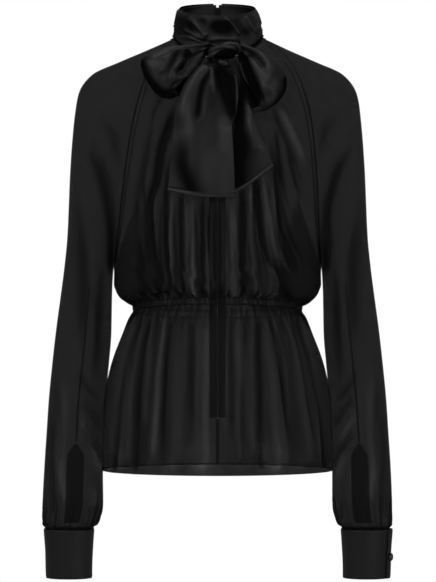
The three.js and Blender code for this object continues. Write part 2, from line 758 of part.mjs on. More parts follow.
function zipTapeWall(side) {
  const down = [zipTape.topZ, ...backLine().map((point) => point.z), zipEndZ]
    .filter((z) => z <= zipTape.topZ && z >= zipEndZ);
  const across = range(2, seamGap / 2, zipTape.halfWidth);
  const columns = side.sign > 0 ? across.reverse() : across;
  const grid = down.map((z) => columns.map((x) => {
    const wall = Math.abs(z - waist.backZ + casingHeight / 2) < 22 ? casingThickness : clothThickness;
    const y = centreBack(z) - wall - zipTape.clearance - (x * x) / (2 * tapeRadius(z));
    return new THREE.Vector3(side.sign * x, y, z);
  }));
  return clothWall(grid, trimThickness);
}

const slider = { z: 46, width: 5.6, height: 9, plate: 1.3, neckWidth: 2, bridgeWidth: 1.5 };
const pull = { length: 21, width: 5, thickness: 1, windowWidth: 2.3, windowLength: 5.2, bar: 1 };
const pivot = { y: 2.45, z: 1.4 }; // the pull's bar, from the slider's centre

function solid(geometry) {
  const plain = geometry.index ? geometry.clone() : geometry;
  plain.deleteAttribute("normal");
  plain.deleteAttribute("uv");
  const merged = mergeVertices(plain, 1e-4);
  return new wasm.Manifold(new wasm.Mesh({
    numProp: 3,
    vertProperties: new Float32Array(merged.attributes.position.array),
    triVerts: new Uint32Array(merged.index.array),
  }));
}

function fromSolid(body) {
  const mesh = body.getMesh();
  const geometry = new THREE.BufferGeometry();
  geometry.setAttribute("position", new THREE.BufferAttribute(mesh.vertProperties, 3));
  geometry.setIndex(new THREE.BufferAttribute(mesh.triVerts, 1));
  return geometry;
}

function zipSlider() {
  const plate = new THREE.BoxGeometry(slider.width, slider.plate, slider.height)
    .translate(0, seamGap + slider.plate / 2, 0);
  const neckDepth = clothThickness + zipTape.clearance;
  const neck = new THREE.BoxGeometry(slider.neckWidth, neckDepth, slider.height - 2)
    .translate(0, seamGap * 2 - neckDepth / 2 + 0.1, 0);
  const arch = new THREE.Shape();
  const foot = seamGap + slider.plate - 0.2;
  const inside = pivot.y + pull.bar / 2 + 0.4;
  arch.moveTo(foot, 3.6);
  arch.lineTo(inside, 3.4);
  arch.quadraticCurveTo(inside + 1.1, 3.2, inside + 1.1, 1.6);
  arch.lineTo(inside + 0.9, -1.4);
  arch.quadraticCurveTo(inside + 0.6, -3.2, foot, -3.6);
  arch.lineTo(foot, -2.5);
  arch.quadraticCurveTo(inside - 0.3, -2.3, inside, -1.2);
  arch.lineTo(inside, 2.3);
  arch.lineTo(foot, 2.5);
  arch.closePath();
  const bridge = new THREE.ExtrudeGeometry(arch, {
    depth: slider.bridgeWidth, bevelEnabled: false, curveSegments: 5,
  });
  // The profile's first axis becomes +Y and its second +Z.
  bridge.applyMatrix4(new THREE.Matrix4().makeBasis(
    new THREE.Vector3(0, 1, 0), new THREE.Vector3(0, 0, 1), new THREE.Vector3(1, 0, 0),
  )).translate(-slider.bridgeWidth / 2, 0, 0);
  return fromSolid(solid(plate).add(solid(neck)).add(solid(bridge)));
}

function zipPull() {
  const { length, width, thickness, windowWidth, windowLength, bar } = pull;
  const top = bar / 2;
  const tab = new THREE.Shape();
  tab.moveTo(-width * 0.38, top);
  tab.lineTo(-width / 2, top - 1);
  tab.lineTo(-width * 0.5, top - 6);
  tab.lineTo(-width * 0.34, top - 9);
  tab.lineTo(-width * 0.5, top - length + 4);
  tab.quadraticCurveTo(-width * 0.5, top - length, 0, top - length);
  tab.quadraticCurveTo(width * 0.5, top - length, width * 0.5, top - length + 4);
  tab.lineTo(width * 0.34, top - 9);
  tab.lineTo(width * 0.5, top - 6);
  tab.lineTo(width / 2, top - 1);
  tab.lineTo(width * 0.38, top);
  tab.closePath();
  const window = new THREE.Path();
  window.moveTo(-windowWidth / 2, -top);
  window.lineTo(windowWidth / 2, -top);
  window.lineTo(windowWidth / 2, -top - windowLength);
  window.lineTo(-windowWidth / 2, -top - windowLength);
  window.closePath();
  tab.holes.push(window);
  const geometry = new THREE.ExtrudeGeometry(tab, {
    depth: thickness, bevelEnabled: false, curveSegments: 4,
  });
  return geometry.rotateX(Math.PI / 2).translate(0, thickness / 2, 0);
}

// Assembly

const georgette = { color: 0x17171a, roughness: 0.85, metalness: 0 };
const satin = { color: 0x121216, roughness: 0.32, metalness: 0 };
const tapeCloth = { color: 0x0c0c0e, roughness: 0.8, metalness: 0 };
const buttonResin = { color: 0x101012, roughness: 0.2, metalness: 0 };
const zipMetal = { color: 0x1a1a1c, roughness: 0.35, metalness: 0.9 };

const garment = new THREE.Group();

function add(name, geometry, finish, parent = garment) {
  const mesh = new THREE.Mesh(geometry, new THREE.MeshStandardMaterial(finish));
  mesh.name = name;
  parent.add(mesh);
  return mesh;
}

add(
  "front_bodice",
  clothWall(trimEdge(bodiceFront, {}, { first: half, last: half }), clothThickness, { out: frontOut }),
  georgette,
);
add(
  "peplum_front",
  clothWall(trimEdge(peplumFront, {}, { first: half, last: half }), clothThickness),
  georgette,
);

const casingOpen = Math.asin(zipHalfGap / waist.sideX) / degree;
const casingGrid = [casingTopZ, casingBottomZ].map((z) => (
  range(44, 90 + casingOpen, 450 - casingOpen).map((angle) => {
    const sin = Math.sin(angle * degree);
    const y = sideY + sin * (sin > 0 ? waist.backY - sideY : sideY - waist.frontY);
    const x = waist.sideX * Math.cos(angle * degree);
    return new THREE.Vector3(x, y, z - waistTilt * (y - sideY));
  })
));
add("waist_casing", clothWall(casingGrid, casingThickness), georgette);

sides.forEach((side, s) => {
  const edge = backSeamEdge(side);
  add(
    `back_bodice_${side.name}`,
    clothWall(trimEdge(bodiceBacks[s], {}, edge), clothThickness, { out: backOut[s] }),
    georgette,
  );
  add(`peplum_back_${side.name}`, clothWall(trimEdge(peplumBacks[s], {}, edge), clothThickness), georgette);
  add(
    `sleeve_${side.name}`,
    clothWall(trimEdge(sleeves[s], { first: seamGap }, {}), clothThickness, {
      ring: true, flip: side.sign > 0, out: sleeveOut[s],
    }),
    georgette,
  );
  add(`sleeve_placket_${side.name}`, sleevePlacket(side), georgette);
  add(`cuff_${side.name}`, cuff(side), satin);
  add(`cuff_button_${side.name}`, cuffButton(side), buttonResin);
  add(`bow_loop_${side.name}`, clothWall(bowLoop(bowLoops[side.name]), clothThickness), satin);
  add(`zip_tape_${side.name}`, zipTapeWall(side), tapeCloth);
});

add("neck_band", clothWall(neckBand(), clothThickness), satin);
add("neck_drape", clothWall(neckDrape(), clothThickness), satin);
add("bow_tail_front", clothWall(bowTail(bowTails.front, -1.2), clothThickness), satin);
add("bow_tail_back", clothWall(bowTail(bowTails.back, 2.2), clothThickness), satin);
add("bow_knot", bowKnot(), satin).position.set(knot.x, knot.y, knot.z);

const zipTop = new THREE.Group();
const sliderUp = 0.8;
const above = neckPoint(sliderUp + 0.1, 90);
const below = neckPoint(sliderUp - 0.1, 90);
const seat = neckPoint(sliderUp, 90);
zipTop.position.copy(seat);
zipTop.rotation.x = Math.atan2(below.y - above.y, above.z - below.z);
garment.add(zipTop);
add("zip_slider", zipSlider(), zipMetal, zipTop);
add("zip_pull", zipPull(), zipMetal, zipTop).position.set(0, pivot.y, pivot.z);

export default garment;
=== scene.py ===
import math
import bmesh
import bpy
import numpy as np
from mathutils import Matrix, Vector


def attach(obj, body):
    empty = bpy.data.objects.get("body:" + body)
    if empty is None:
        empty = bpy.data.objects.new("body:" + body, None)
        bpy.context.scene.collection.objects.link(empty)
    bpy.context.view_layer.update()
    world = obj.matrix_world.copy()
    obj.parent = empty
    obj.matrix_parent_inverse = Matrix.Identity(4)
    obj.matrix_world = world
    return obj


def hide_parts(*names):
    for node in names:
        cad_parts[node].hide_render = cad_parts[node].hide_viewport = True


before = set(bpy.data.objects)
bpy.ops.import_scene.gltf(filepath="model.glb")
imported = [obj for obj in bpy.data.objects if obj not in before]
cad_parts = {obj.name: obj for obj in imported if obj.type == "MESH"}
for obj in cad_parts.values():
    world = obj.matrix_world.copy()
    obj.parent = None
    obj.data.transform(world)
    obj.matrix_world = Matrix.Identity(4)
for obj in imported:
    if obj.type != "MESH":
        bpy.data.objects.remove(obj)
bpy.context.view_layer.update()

# A sheer black blouse with a satin collar, bow and cuffs. Tables are in millimetres, and the origin
# is the middle of the neck's base. Creases are placed as they look from the front, at the plane y = 0.

mm = 0.001
camera = dict(distance=4.0, height=-0.36, fieldHeight=0.838, sideways=0.0007)


# Number helpers

def table(columns, rows):
    return {key: np.array(values, float) for key, values in zip(columns.split(), zip(*rows))}


def curve(x, y):  # smooth through the points, and never overshoots between them
    order = np.argsort(x)
    x, y = np.asarray(x, float)[order], np.asarray(y, float)[order]
    rise = np.diff(y) / np.diff(x)
    before, after = rise[:-1], rise[1:]
    turning = before * after <= 0
    slope = np.empty_like(y)
    slope[0], slope[-1] = rise[0], rise[-1]
    slope[1:-1] = np.where(turning, 0, 2 * before * after / np.where(turning, 1, before + after))

    def at(value):
        value = np.clip(value, x[0], x[-1])
        i = np.clip(np.searchsorted(x, value, side="right") - 1, 0, len(x) - 2)
        span = x[i + 1] - x[i]
        t = (value - x[i]) / span
        keep = (1 + 2 * t) * (1 - t) ** 2 * y[i] + t * t * (3 - 2 * t) * y[i + 1]
        return keep + span * (t * (1 - t) ** 2 * slope[i] - t * t * (1 - t) * slope[i + 1])

    return at


def tableCurves(columns, by=None):
    count = len(next(iter(columns.values())))
    along = np.arange(count) if by is None else columns[by]
    return {key: curve(along, values) for key, values in columns.items()}


def smooth(start, end, value):
    t = np.clip((value - start) / (end - start), 0, 1)
    return t * t * (3 - 2 * t)


def bell(distance, width):
    return np.exp(-(distance / width) ** 2)


def mix(a, b, t):
    return a + (b - a) * t


def ripple(along, seed, waves):  # uneven gathers: (length, height) pairs, with phases from the seed
    random = np.random.default_rng(seed)
    total = np.zeros_like(along)
    for length, height in waves:
        swell = 1 + 0.5 * np.sin(along / (length * 3.7) * 2 * math.pi + random.uniform(0, 6.3))
        total = total + height * swell * np.sin(2 * math.pi * along / length + random.uniform(0, 6.3))
    return total


def seen(points):  # where a point shows from the front, at the plane y = 0
    far = camera["distance"] / mm
    scale = far / (far + points[..., 1])
    level = camera["height"] / mm
    return points[..., 0] * scale, level + (points[..., 2] - level) * scale


def spline(path, steps=8):
    path = np.array(path, float)
    at = lengths(path)
    fine = np.linspace(0, at[-1], steps * (len(path) - 1) + 1)
    return np.stack([curve(at, path[:, axis])(fine) for axis in range(path.shape[1])], -1)


def nearest(path, x, z):  # distance to a path, its side, and how far along it the nearest point lies
    step = np.diff(path, axis=0)
    length = np.linalg.norm(step, axis=1)
    start = np.concatenate([[0], np.cumsum(length)])
    best = np.full(x.shape, 1e9)
    side = np.zeros(x.shape)
    along = np.zeros(x.shape)
    for k in range(len(step)):
        dx, dz = x - path[k, 0], z - path[k, 1]
        t = np.clip((dx * step[k, 0] + dz * step[k, 1]) / length[k] ** 2, 0, 1)
        away = np.hypot(dx - t * step[k, 0], dz - t * step[k, 1])
        closer = away < best
        best = np.where(closer, away, best)
        side = np.where(closer, np.sign(step[k, 0] * dz - step[k, 1] * dx), side)
        along = np.where(closer, (start[k] + t * length[k]) / start[-1], along)
    return best, side, along


# A crease is its path, depth and width, then the share of its length that fades at each tip, how much
# wider it is on the side left of its path, and its density where that doesn't follow from the depth.
# The density also paints shade into the colour where it is positive and a highlight where it is negative.

def creaseAt(x, z, path, depth, width, tips=(0.3, 0.3), lean=1.0, density=None):
    density = -depth / 5.5 if density is None else density
    away, side, along = nearest(spline(path), x, z)
    width = width * np.where(side > 0, lean, 1)
    start, end = tips
    fade = smooth(0, start, along) if start else 1
    fade = fade * (smooth(1, 1 - end, along) if end else 1)
    return depth * (bell(away, width) * fade), density * bell(away, width * 0.75) * fade


def creased(x, z, creases):  # how far the cloth stands out, and how densely it is folded, which also paints shade in troughs and highlight on ridges
    height, denseAndShaded = np.zeros(x.shape), np.zeros(x.shape)
    for one in creases:
        stands, foldedAndShaded = creaseAt(x, z, *one)
        height += stands
        denseAndShaded += foldedAndShaded
    return height, denseAndShaded


def shaded(denseAndShaded, x, z, spots, squash, amount=1):  # patches of painted shade and painted highlight, squashed in height; on the georgette they also change its density
    for atX, atZ, density, width in zip(*[spots[key] for key in ("x", "z", "density", "width")]):
        denseAndShaded = denseAndShaded + density * bell(np.hypot(x - atX, (z - atZ) * squash), width) * amount
    return denseAndShaded


# Cloth as grids of points: rows run down, columns anticlockwise seen from above.

def outwards(grid, ring=False, flip=False):
    down = np.empty_like(grid)
    down[1:-1] = grid[2:] - grid[:-2]
    down[0], down[-1] = grid[1] - grid[0], grid[-1] - grid[-2]
    if ring:
        across = np.roll(grid, -1, 1) - np.roll(grid, 1, 1)
    else:
        across = np.empty_like(grid)
        across[:, 1:-1] = grid[:, 2:] - grid[:, :-2]
        across[:, 0], across[:, -1] = grid[:, 1] - grid[:, 0], grid[:, -1] - grid[:, -2]
    normal = np.cross(down, across)
    normal /= np.maximum(np.linalg.norm(normal, axis=-1, keepdims=True), 1e-9)
    return -normal if flip else normal


def pushed(grid, amount, ring=False, flip=False):
    return grid + outwards(grid, ring, flip) * amount[..., None]


def lifted(grid, distance, flip=False):  # pushed evenly
    return pushed(grid, np.full(grid.shape[:2], distance), False, flip)


def fromLast(grid):  # distance from the last row
    return np.linalg.norm(grid - grid[-1][None], axis=-1)


def lengths(line):  # how far along a line each of its points lies
    return np.concatenate([[0], np.cumsum(np.linalg.norm(np.diff(line, axis=0), axis=-1))])


def added(name, data):
    piece = bpy.data.objects.new(name, data)
    bpy.context.scene.collection.objects.link(piece)
    return piece


def settled(piece, modifier):  # the modifier's result becomes the piece's own plain mesh
    whole = bpy.data.meshes.new_from_object(piece.evaluated_get(bpy.context.evaluated_depsgraph_get()))
    piece.modifiers.remove(modifier)
    piece.data = whole
    return piece


def meshPiece(name, points, faces, uv, fold, material):
    mesh = bpy.data.meshes.new(name)
    mesh.from_pydata((points * mm).tolist(), [], [list(map(int, face)) for face in faces])
    mesh.uv_layers.new(name="cloth").data.foreach_set("uv", np.asarray(uv, np.float32).ravel())
    # The fold attribute holds how densely the cloth is folded, which sets the georgette's opacity. It also
    # paints shade into the colour where it is positive and a highlight where it is negative.
    foldedAndShaded = mesh.attributes.new("fold", "FLOAT", "POINT")
    foldedAndShaded.data.foreach_set("value", np.asarray(fold, np.float32).ravel())
    mesh.shade_smooth()
    mesh.materials.append(material)
    return added(name, mesh)


def clothArrays(grid, thickness, ring=False, flip=False, fold=None):
    rows, columns = grid.shape[:2]
    inner = grid - outwards(grid, ring, flip) * thickness
    points = np.concatenate([grid.reshape(-1, 3), inner.reshape(-1, 3)])
    wraps = columns if ring else columns - 1
    closed = np.concatenate([grid, grid[:, :1]], 1) if ring else grid
    stepX = np.linalg.norm(np.diff(closed, axis=1), axis=-1).mean(0)
    stepZ = np.linalg.norm(np.diff(grid, axis=0), axis=-1).mean(1)
    u = np.concatenate([[0], np.cumsum(stepX)]) * mm
    v = -np.concatenate([[0], np.cumsum(stepZ)]) * mm
    i, j = [part.ravel() for part in np.meshgrid(np.arange(rows - 1), np.arange(wraps), indexing="ij")]
    after = (j + 1) % columns
    faces, uvs = [], []

    def quads(corners, places):
        faces.append(np.stack(corners, -1))
        uvs.append(np.stack([np.stack(np.broadcast_arrays(*place), -1) for place in places], 1))

    under = rows * columns
    corners = [i * columns + j, (i + 1) * columns + j, (i + 1) * columns + after, i * columns + after]
    places = [(u[j], v[i]), (u[j], v[i + 1]), (u[j + 1], v[i + 1]), (u[j + 1], v[i])]
    quads(corners, places)
    quads([corner + under for corner in corners[::-1]], places[::-1])

    def edge(first, second, start, end):
        quads([first, second, second + under, first + under], [start, end, end, start])

    across, low = np.arange(wraps), (rows - 1) * columns
    beside = (across + 1) % columns
    edge(across, beside, (u[across], v[0]), (u[across + 1], v[0]))
    edge(low + beside, low + across, (u[across + 1], v[-1]), (u[across], v[-1]))
    if not ring:
        down = np.arange(rows - 1)
        first, last = down * columns, down * columns + columns - 1
        edge(first + columns, first, (u[0], v[down + 1]), (u[0], v[down]))
        edge(last, last + columns, (u[-1], v[down]), (u[-1], v[down + 1]))
    faces, uvs = np.concatenate(faces), np.concatenate(uvs)
    if flip:
        faces, uvs = faces[:, ::-1], uvs[:, ::-1]
    fold = np.zeros(rows * columns) if fold is None else np.broadcast_to(fold, (rows, columns)).ravel()
    return points, faces, uvs, np.concatenate([fold, fold])


def clothPiece(name, grid, thickness, material, **options):
    return meshPiece(name, *clothArrays(grid, thickness, **options), material)


def joinedCloth(name, parts, material):  # several strips of cloth as one piece
    points, faces, uvs, folds = map(list, zip(*parts))
    starts = np.cumsum([0] + [len(some) for some in points])
    faces = [some + start for some, start in zip(faces, starts)]
    return meshPiece(name, *map(np.concatenate, (points, faces, uvs, folds)), material)


def finished(piece, slot, *nodes, body="garment"):
    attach(piece, body)
    if nodes:
        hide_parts(*nodes)
    return piece


def sewn(name, node, slot, grid, fold, thickness, ring=False, flip=False, extra=(), **cut):
    piece = clothPiece(name, grid, thickness, cloths[slot], ring=ring, flip=flip, fold=fold)
    return finished(piece, slot, node)


# Materials

class Wire:  # a socket of a shader tree, so that its maths reads as Python
    def __init__(self, tree, socket):
        self.tree = tree
        self.socket = socket

    @staticmethod
    def node(tree, kind, settings=None, values=None, output=0):
        made = tree.nodes.new(kind if "Node" in kind else "ShaderNode" + kind)
        for key, value in (settings or {}).items():
            setattr(made, key, value)
        for key, value in (values or {}).items():
            if isinstance(value, Wire):
                tree.links.new(value.socket, made.inputs[key])
            else:
                made.inputs[key].default_value = value
        return Wire(tree, made.outputs[output])

    def maths(self, operation, *others, clamp=False):
        values = dict(enumerate([self, *others]))
        return Wire.node(self.tree, "Math", {"operation": operation, "use_clamp": clamp}, values)

    def __add__(self, other):
        return self.maths("ADD", other)

    def __mul__(self, other):
        return self.maths("MULTIPLY", other)

    def __sub__(self, other):
        return self.maths("SUBTRACT", other)

    def __rsub__(self, other):
        return (self * -1) + other

    __radd__ = __add__
    __rmul__ = __mul__

    def limited(self):
        return self.maths("ADD", 0.0, clamp=True)

    def mixed(self, first, second):  # from one colour to the other as this value rises
        values = {"Factor": self, "A": first, "B": second}
        return Wire.node(self.tree, "Mix", {"data_type": "RGBA"}, values, 2)

    def waves(self, pitch):
        return (self * (2 * math.pi / pitch)).maths("SINE")


def newMaterial(name, roughness, specular=0.5, metallic=0.0, **sockets):
    material = bpy.data.materials.new(name)
    material.use_nodes = True
    tree = material.node_tree
    shader = tree.nodes["Principled BSDF"]
    constants = dict(sockets, Roughness=roughness, Specular_IOR_Level=specular, Metallic=metallic)
    for key, value in constants.items():
        shader.inputs[key.replace("_", " ")].default_value = value

    def node(kind, settings=None, values=None, output=0):
        return Wire.node(tree, kind, settings, values, output)

    def feed(**links):
        for key, wire in links.items():
            tree.links.new(wire.socket, shader.inputs[key.replace("_", " ")])

    return material, node, feed


def bumped(node, look, height):
    return node("Bump", values={"Strength": look["bump"], "Distance": look["bumpDistance"], "Height": height})


def clothWires(node):  # the cloth's own coordinates, across and along it, and its folds
    cloth = node("UVMap", {"uv_map": "cloth"})
    across, along = (node("SeparateXYZ", values={"Vector": cloth}, output=axis) for axis in "XY")
    return cloth, across, along, node("Attribute", {"attribute_name": "fold"}, output="Fac")


def noise(node, where, scale, detail, dimensions="2D", **values):
    values = {"Vector": where, "Scale": scale, "Detail": detail, **values}
    return node("TexNoise", {"noise_dimensions": dimensions}, values, "Fac")


georgetteLook = dict(
    colour=(0.0125, 0.0125, 0.0135, 1), foldShadeColour=(0.0045, 0.0045, 0.005, 1),
    weaveAndHighlightColour=(0.03, 0.03, 0.032, 1), highlightReach=1.6, roughness=0.85, specular=0.22,
    opacity=0.69, foldOpacity=0.22, crepeOpacity=0.07, slubOpacity=0.056, watered=0.26,
    crepeScale=900, slubScale=60.0, threadPitch=0.00034, threadHeight=0.15, wateredScale=150,
    bump=0.35, bumpDistance=0.0003,
)


def georgetteMaterial():
    look = georgetteLook
    material, node, feed = newMaterial("georgette", look["roughness"], look["specular"])
    cloth, across, along, fold = clothWires(node)
    crepe = noise(node, cloth, look["crepeScale"], 2.0, Roughness=0.65)
    slub = noise(node, cloth, look["slubScale"], 3.0)
    threads = across.waves(look["threadPitch"]) * along.waves(look["threadPitch"])
    # Two layers of fine cloth over each other look watered where they lie smooth.
    watered = node("TexWave", {"bands_direction": "X"},
                   {"Vector": cloth, "Scale": look["wateredScale"], "Distortion": 14.0, "Detail": 2.0,
                    "Detail Scale": 0.35}, "Fac")
    # Painted shade and highlight: a positive fold value darkens the colour, and a negative one paints it
    # lighter as a highlight. The same value makes folded cloth more opaque, and the smooth parts look watered.
    smoothAndHighlit = (fold * -look["highlightReach"]).limited()
    highlitColour = smoothAndHighlit.mixed(look["colour"], look["weaveAndHighlightColour"])
    feed(Base_Color=fold.limited().mixed(highlitColour, look["foldShadeColour"]))
    opacity = look["opacity"] + fold * look["foldOpacity"] + (crepe - 0.5) * look["crepeOpacity"] \
        + (slub - 0.5) * look["slubOpacity"] + (watered - 0.5) * smoothAndHighlit * look["watered"]
    feed(Alpha=opacity.limited())
    feed(Normal=bumped(node, look, crepe + threads * look["threadHeight"]))
    return material


satinLook = dict(
    colour=(0.0105, 0.0105, 0.0117, 1), foldShadeColour=(0.0036, 0.0036, 0.004, 1),
    weaveAndHighlightColour=(0.034, 0.034, 0.037, 1), roughness=0.42, roughnessSpread=0.12, foldRoughness=0.3,
    specular=0.34, anisotropy=0.25, foldShadow=0.9, cloudScale=45.0, grainScale=1500.0,
    pitch=0.0004, slant=0.4, floatHeight=0.3, bump=0.2, bumpDistance=0.0002,
)


def satinMaterial():
    look = satinLook
    material, node, feed = newMaterial("satin", look["roughness"], look["specular"],
                                       Anisotropic=look["anisotropy"])
    cloth, across, along, fold = clothWires(node)
    cloud = noise(node, cloth, look["cloudScale"], 3.0)
    grain = noise(node, cloth, look["grainScale"], 1.0)
    floats = (across + along * look["slant"]).waves(look["pitch"])
    # Painted shade and highlight: a positive fold value darkens the colour and roughens the satin, and a
    # negative one paints it lighter as a highlight.
    deep = fold.limited()
    highlight = (fold * -1).limited()
    highlitColour = highlight.mixed(look["colour"], look["weaveAndHighlightColour"])
    feed(Base_Color=deep.mixed(highlitColour, look["foldShadeColour"]))
    feed(Roughness=(cloud - 0.5) * look["roughnessSpread"] + deep * look["foldRoughness"] + look["roughness"])
    feed(Normal=bumped(node, look, grain + floats * look["floatHeight"]))
    # Painted shade: where the fold value is high, the satin is mixed towards a dark matte shader and gives no
    # sheen.
    tree = material.node_tree
    shadow = node("BsdfDiffuse", values={"Color": look["foldShadeColour"]})
    sheen = Wire(tree, tree.nodes["Principled BSDF"].outputs[0])
    both = node("MixShader", values={"Fac": deep * look["foldShadow"], 1: sheen, 2: shadow})
    tree.links.new(both.socket, tree.nodes["Material Output"].inputs["Surface"])
    return material


tapeLook = dict(
    colour=(0.004, 0.004, 0.0045, 1), weaveAndHighlightColour=(0.008, 0.008, 0.009, 1), roughness=0.8, specular=0.3,
    ribPitch=0.0007, pickPitch=0.0005, bump=0.4, bumpDistance=0.0002,
)


def tapeMaterial():
    look = tapeLook
    material, node, feed = newMaterial("zipTape", look["roughness"], look["specular"])
    across, along = clothWires(node)[1:3]
    weave = across.waves(look["ribPitch"]) * 0.5 + along.waves(look["pickPitch"]) * 0.3 + 0.5
    feed(Base_Color=weave.limited().mixed(look["colour"], look["weaveAndHighlightColour"]))
    feed(Normal=bumped(node, look, weave))
    return material


hardLooks = dict(
    resin=dict(roughness=0.2, specular=0.6, metallic=0.0, scale=260, greys=(0.008, 0.018), spread=0.12),
    blackMetal=dict(roughness=0.32, specular=0.5, metallic=0.6, scale=700, greys=(0.012, 0.035), spread=0.25),
    thread=dict(roughness=0.6, specular=0.3, metallic=0.0, scale=4000, greys=(0.01, 0.03), spread=0.2),
)


def hardMaterial(name, roughness, specular, metallic, scale, greys, spread):
    material, node, feed = newMaterial(name, roughness, specular, metallic)
    cloud = noise(node, node("TexCoord", output="Object"), scale, 3.0, "3D")
    feed(Base_Color=cloud.mixed(*((grey, grey, grey, 1) for grey in greys)))
    if spread:
        feed(Roughness=(cloud - 0.5) * spread + roughness)
    return material


cloths = dict(georgette=georgetteMaterial(), satin=satinMaterial(), zip_tape=tapeMaterial())
resin, blackMetal, thread = (hardMaterial(name, **look) for name, look in hardLooks.items())
print("materials made")


# The torso and the sleeves share the raglan seams, so their surfaces stand together.

clothThickness = 0.6
layerGap = 0.4
sideY = 2.0
zipHalfGap = 1.5
collarHalfGap = 4.6
zipEnd = -548.0
casingHeight = 7.5
waistTilt = 0.12
seamGap = 0.3
neckAngle = 20.0
sides = {
    "left": dict(sign=-1, bulge=0.65, cuffEnd=-24),
    "right": dict(sign=1, bulge=1.0, cuffEnd=34),
}

chest = table("z front", [
    (-28, -52), (-45, -61), (-70, -76), (-100, -92), (-135, -104),
    (-175, -110), (-230, -111), (-280, -110), (-318, -110),
])
shoulderBlades = table("z back", [
    (8, 46), (-10, 58), (-35, 72), (-70, 84), (-110, 92),
    (-150, 94), (-200, 91), (-260, 88), (-318, 90),
])
seamTurn = table("angle front back", [
    (20, 74, 76), (55, 58, 62), (100, 56, 60), (140, 66, 68), (180, 88, 88),
])
blousing = table("sideX sideZ frontY frontZ backY backZ", [
    (147.3, -336, -110.5, -333, 91.5, -340),
    (147.6, -350, -110, -346, 93.5, -356),
    (146.2, -360, -107.5, -355, 93, -367),
    (142, -368, -103, -361, 91, -375),
    (134, -374.5, -97, -365.6, 88, -382),
    (126, -378.8, -91.5, -368.5, 85.5, -387.6),
    (120.5, -380.5, -88, -369.7, 84, -390.3),
])
peplumRows = table("sideX sideZ frontY backY", [
    (120, 0, -88, 84), (128.5, -13.5, -92.5, 89), (138, -36, -99, 97),
    (147.8, -62, -105.5, 105), (155.2, -90, -110.5, 112), (160.5, -115, -114.5, 117.5),
    (163, -152, -119.5, 123.5), (164.3, -191, -123.5, 127.5), (165.2, -229.4, -127, 130),
])
sleeveRings = table("topX topZ underX underZ centreY front back bulge round", [
    (63, 2, 148, -318, 2, 70, 66, 36, 1.25),
    (98, -13, 148.6, -321.4, 1, 71, 67, 33, 1.22),
    (140, -30.5, 149.1, -324.8, 0, 71, 67, 27, 1.18),
    (180, -49, 149.5, -328.3, -1, 70, 66, 20, 1.14),
    (198.5, -74, 149.9, -332, -3, 68, 64, 14, 1.1),
    (204.5, -105, 150.2, -335.8, -5, 65, 62, 9, 1.06),
    (208.6, -145, 150.4, -339.8, -7, 63, 60, 5, 1.03),
    (211.6, -190, 150.6, -344.2, -9, 61, 59, 2, 1),
    (213.4, -235, 150.8, -349.5, -11, 60, 58, 0, 1),
    (215.4, -282, 151, -357, -14, 58, 57, 0, 1),
    (219.4, -325, 151.2, -368, -17, 56, 55, 0, 1),
    (225, -370, 151.4, -388, -21, 54, 53, 0, 1),
    (230.8, -415, 151.8, -420, -26, 51, 50, 0, 1),
    (236.2, -465, 155.5, -468, -31, 49, 48, 0, 1),
    (240.8, -515, 160, -516, -35, 47, 46, 0, 1),
    (243.8, -562, 162.5, -562, -38, 46, 45, 0, 1),
    (246.6, -608, 163.3, -608, -41, 45, 44, 0, 1),
    (248.2, -648, 163.4, -648, -43, 43, 42, 0, 1),
    (248.5, -668, 164.2, -667, -44, 40, 39, 0, 1),
    (248.2, -684, 168, -683, -45, 36, 35, 0, 1),
    (247.8, -697.5, 174.8, -697.5, -46, 30.6, 30.6, 0, 1),
])
ringCurves = tableCurves(sleeveRings)
lastStation = len(sleeveRings["topZ"]) - 1
straightFrom = 12  # from this ring on the sleeve's rings are told apart by height
chestFront = curve(chest["z"], chest["front"])
bladesBack = curve(shoulderBlades["z"], shoulderBlades["back"])
turnFront = curve(seamTurn["angle"], seamTurn["front"])
turnBack = curve(seamTurn["angle"], seamTurn["back"])
stationAt = curve(sleeveRings["topZ"][straightFrom:], np.arange(straightFrom, lastStation + 1))


def sleevePoint(side, station, angle):  # 0 degrees is the shoulder and outer arm, 90 the front
    ring = {key: at(station) for key, at in ringCurves.items()}
    cos, sin = np.cos(np.radians(angle)), np.sin(np.radians(angle))
    down = np.clip((1 - cos) / 2, 0, 1) ** ring["round"]
    acrossX = ring["underX"] - ring["topX"]
    acrossZ = ring["underZ"] - ring["topZ"]
    bulge = ring["bulge"] * side["bulge"] * sin * sin * (1 + 0.5 * cos) / np.hypot(acrossX, acrossZ)
    depth = np.where(sin > 0, ring["front"], ring["back"])
    return np.stack([
        side["sign"] * (ring["topX"] + acrossX * down - acrossZ * bulge),
        ring["centreY"] - depth * sin,
        ring["topZ"] + acrossZ * down + acrossX * bulge,
    ], -1)


def torsoPoints(rows, u):  # rows hold the side end's x, y, z, the centre's y, z and the turn
    endX, endY, endZ, centreY, centreZ, turn = [rows[..., k] for k in range(6)]
    most = np.radians(turn)
    inward = (np.cos(u * most) - np.cos(most)) / (1 - np.cos(most))
    return np.stack([
        endX * np.sin(u * most) / np.sin(most),
        mix(endY, centreY, inward),
        mix(endZ, centreZ, inward),
    ], -1)


def seamRows(side, angles, front):
    top = sleevePoint(side, 0.0, neckAngle)[2]
    under = sleevePoint(side, 0.0, 180.0)[2]
    end = sleevePoint(side, np.zeros_like(angles), angles if front else 360 - angles)
    down = (end[:, 2] - top) / (under - top)
    centreZ = mix(chest["z"][0] if front else shoulderBlades["z"][0], under, down)
    centreY = chestFront(centreZ) if front else bladesBack(centreZ)
    turn = turnFront(angles) if front else turnBack(angles)
    return np.column_stack([end, centreY, centreZ, turn])


torso = dict(
    seamRows=80, seamSteps=9, blousingRows=44, peplumRows=96, frontColumns=190, backColumns=80,
    peplumSeamGap=0.1,
)


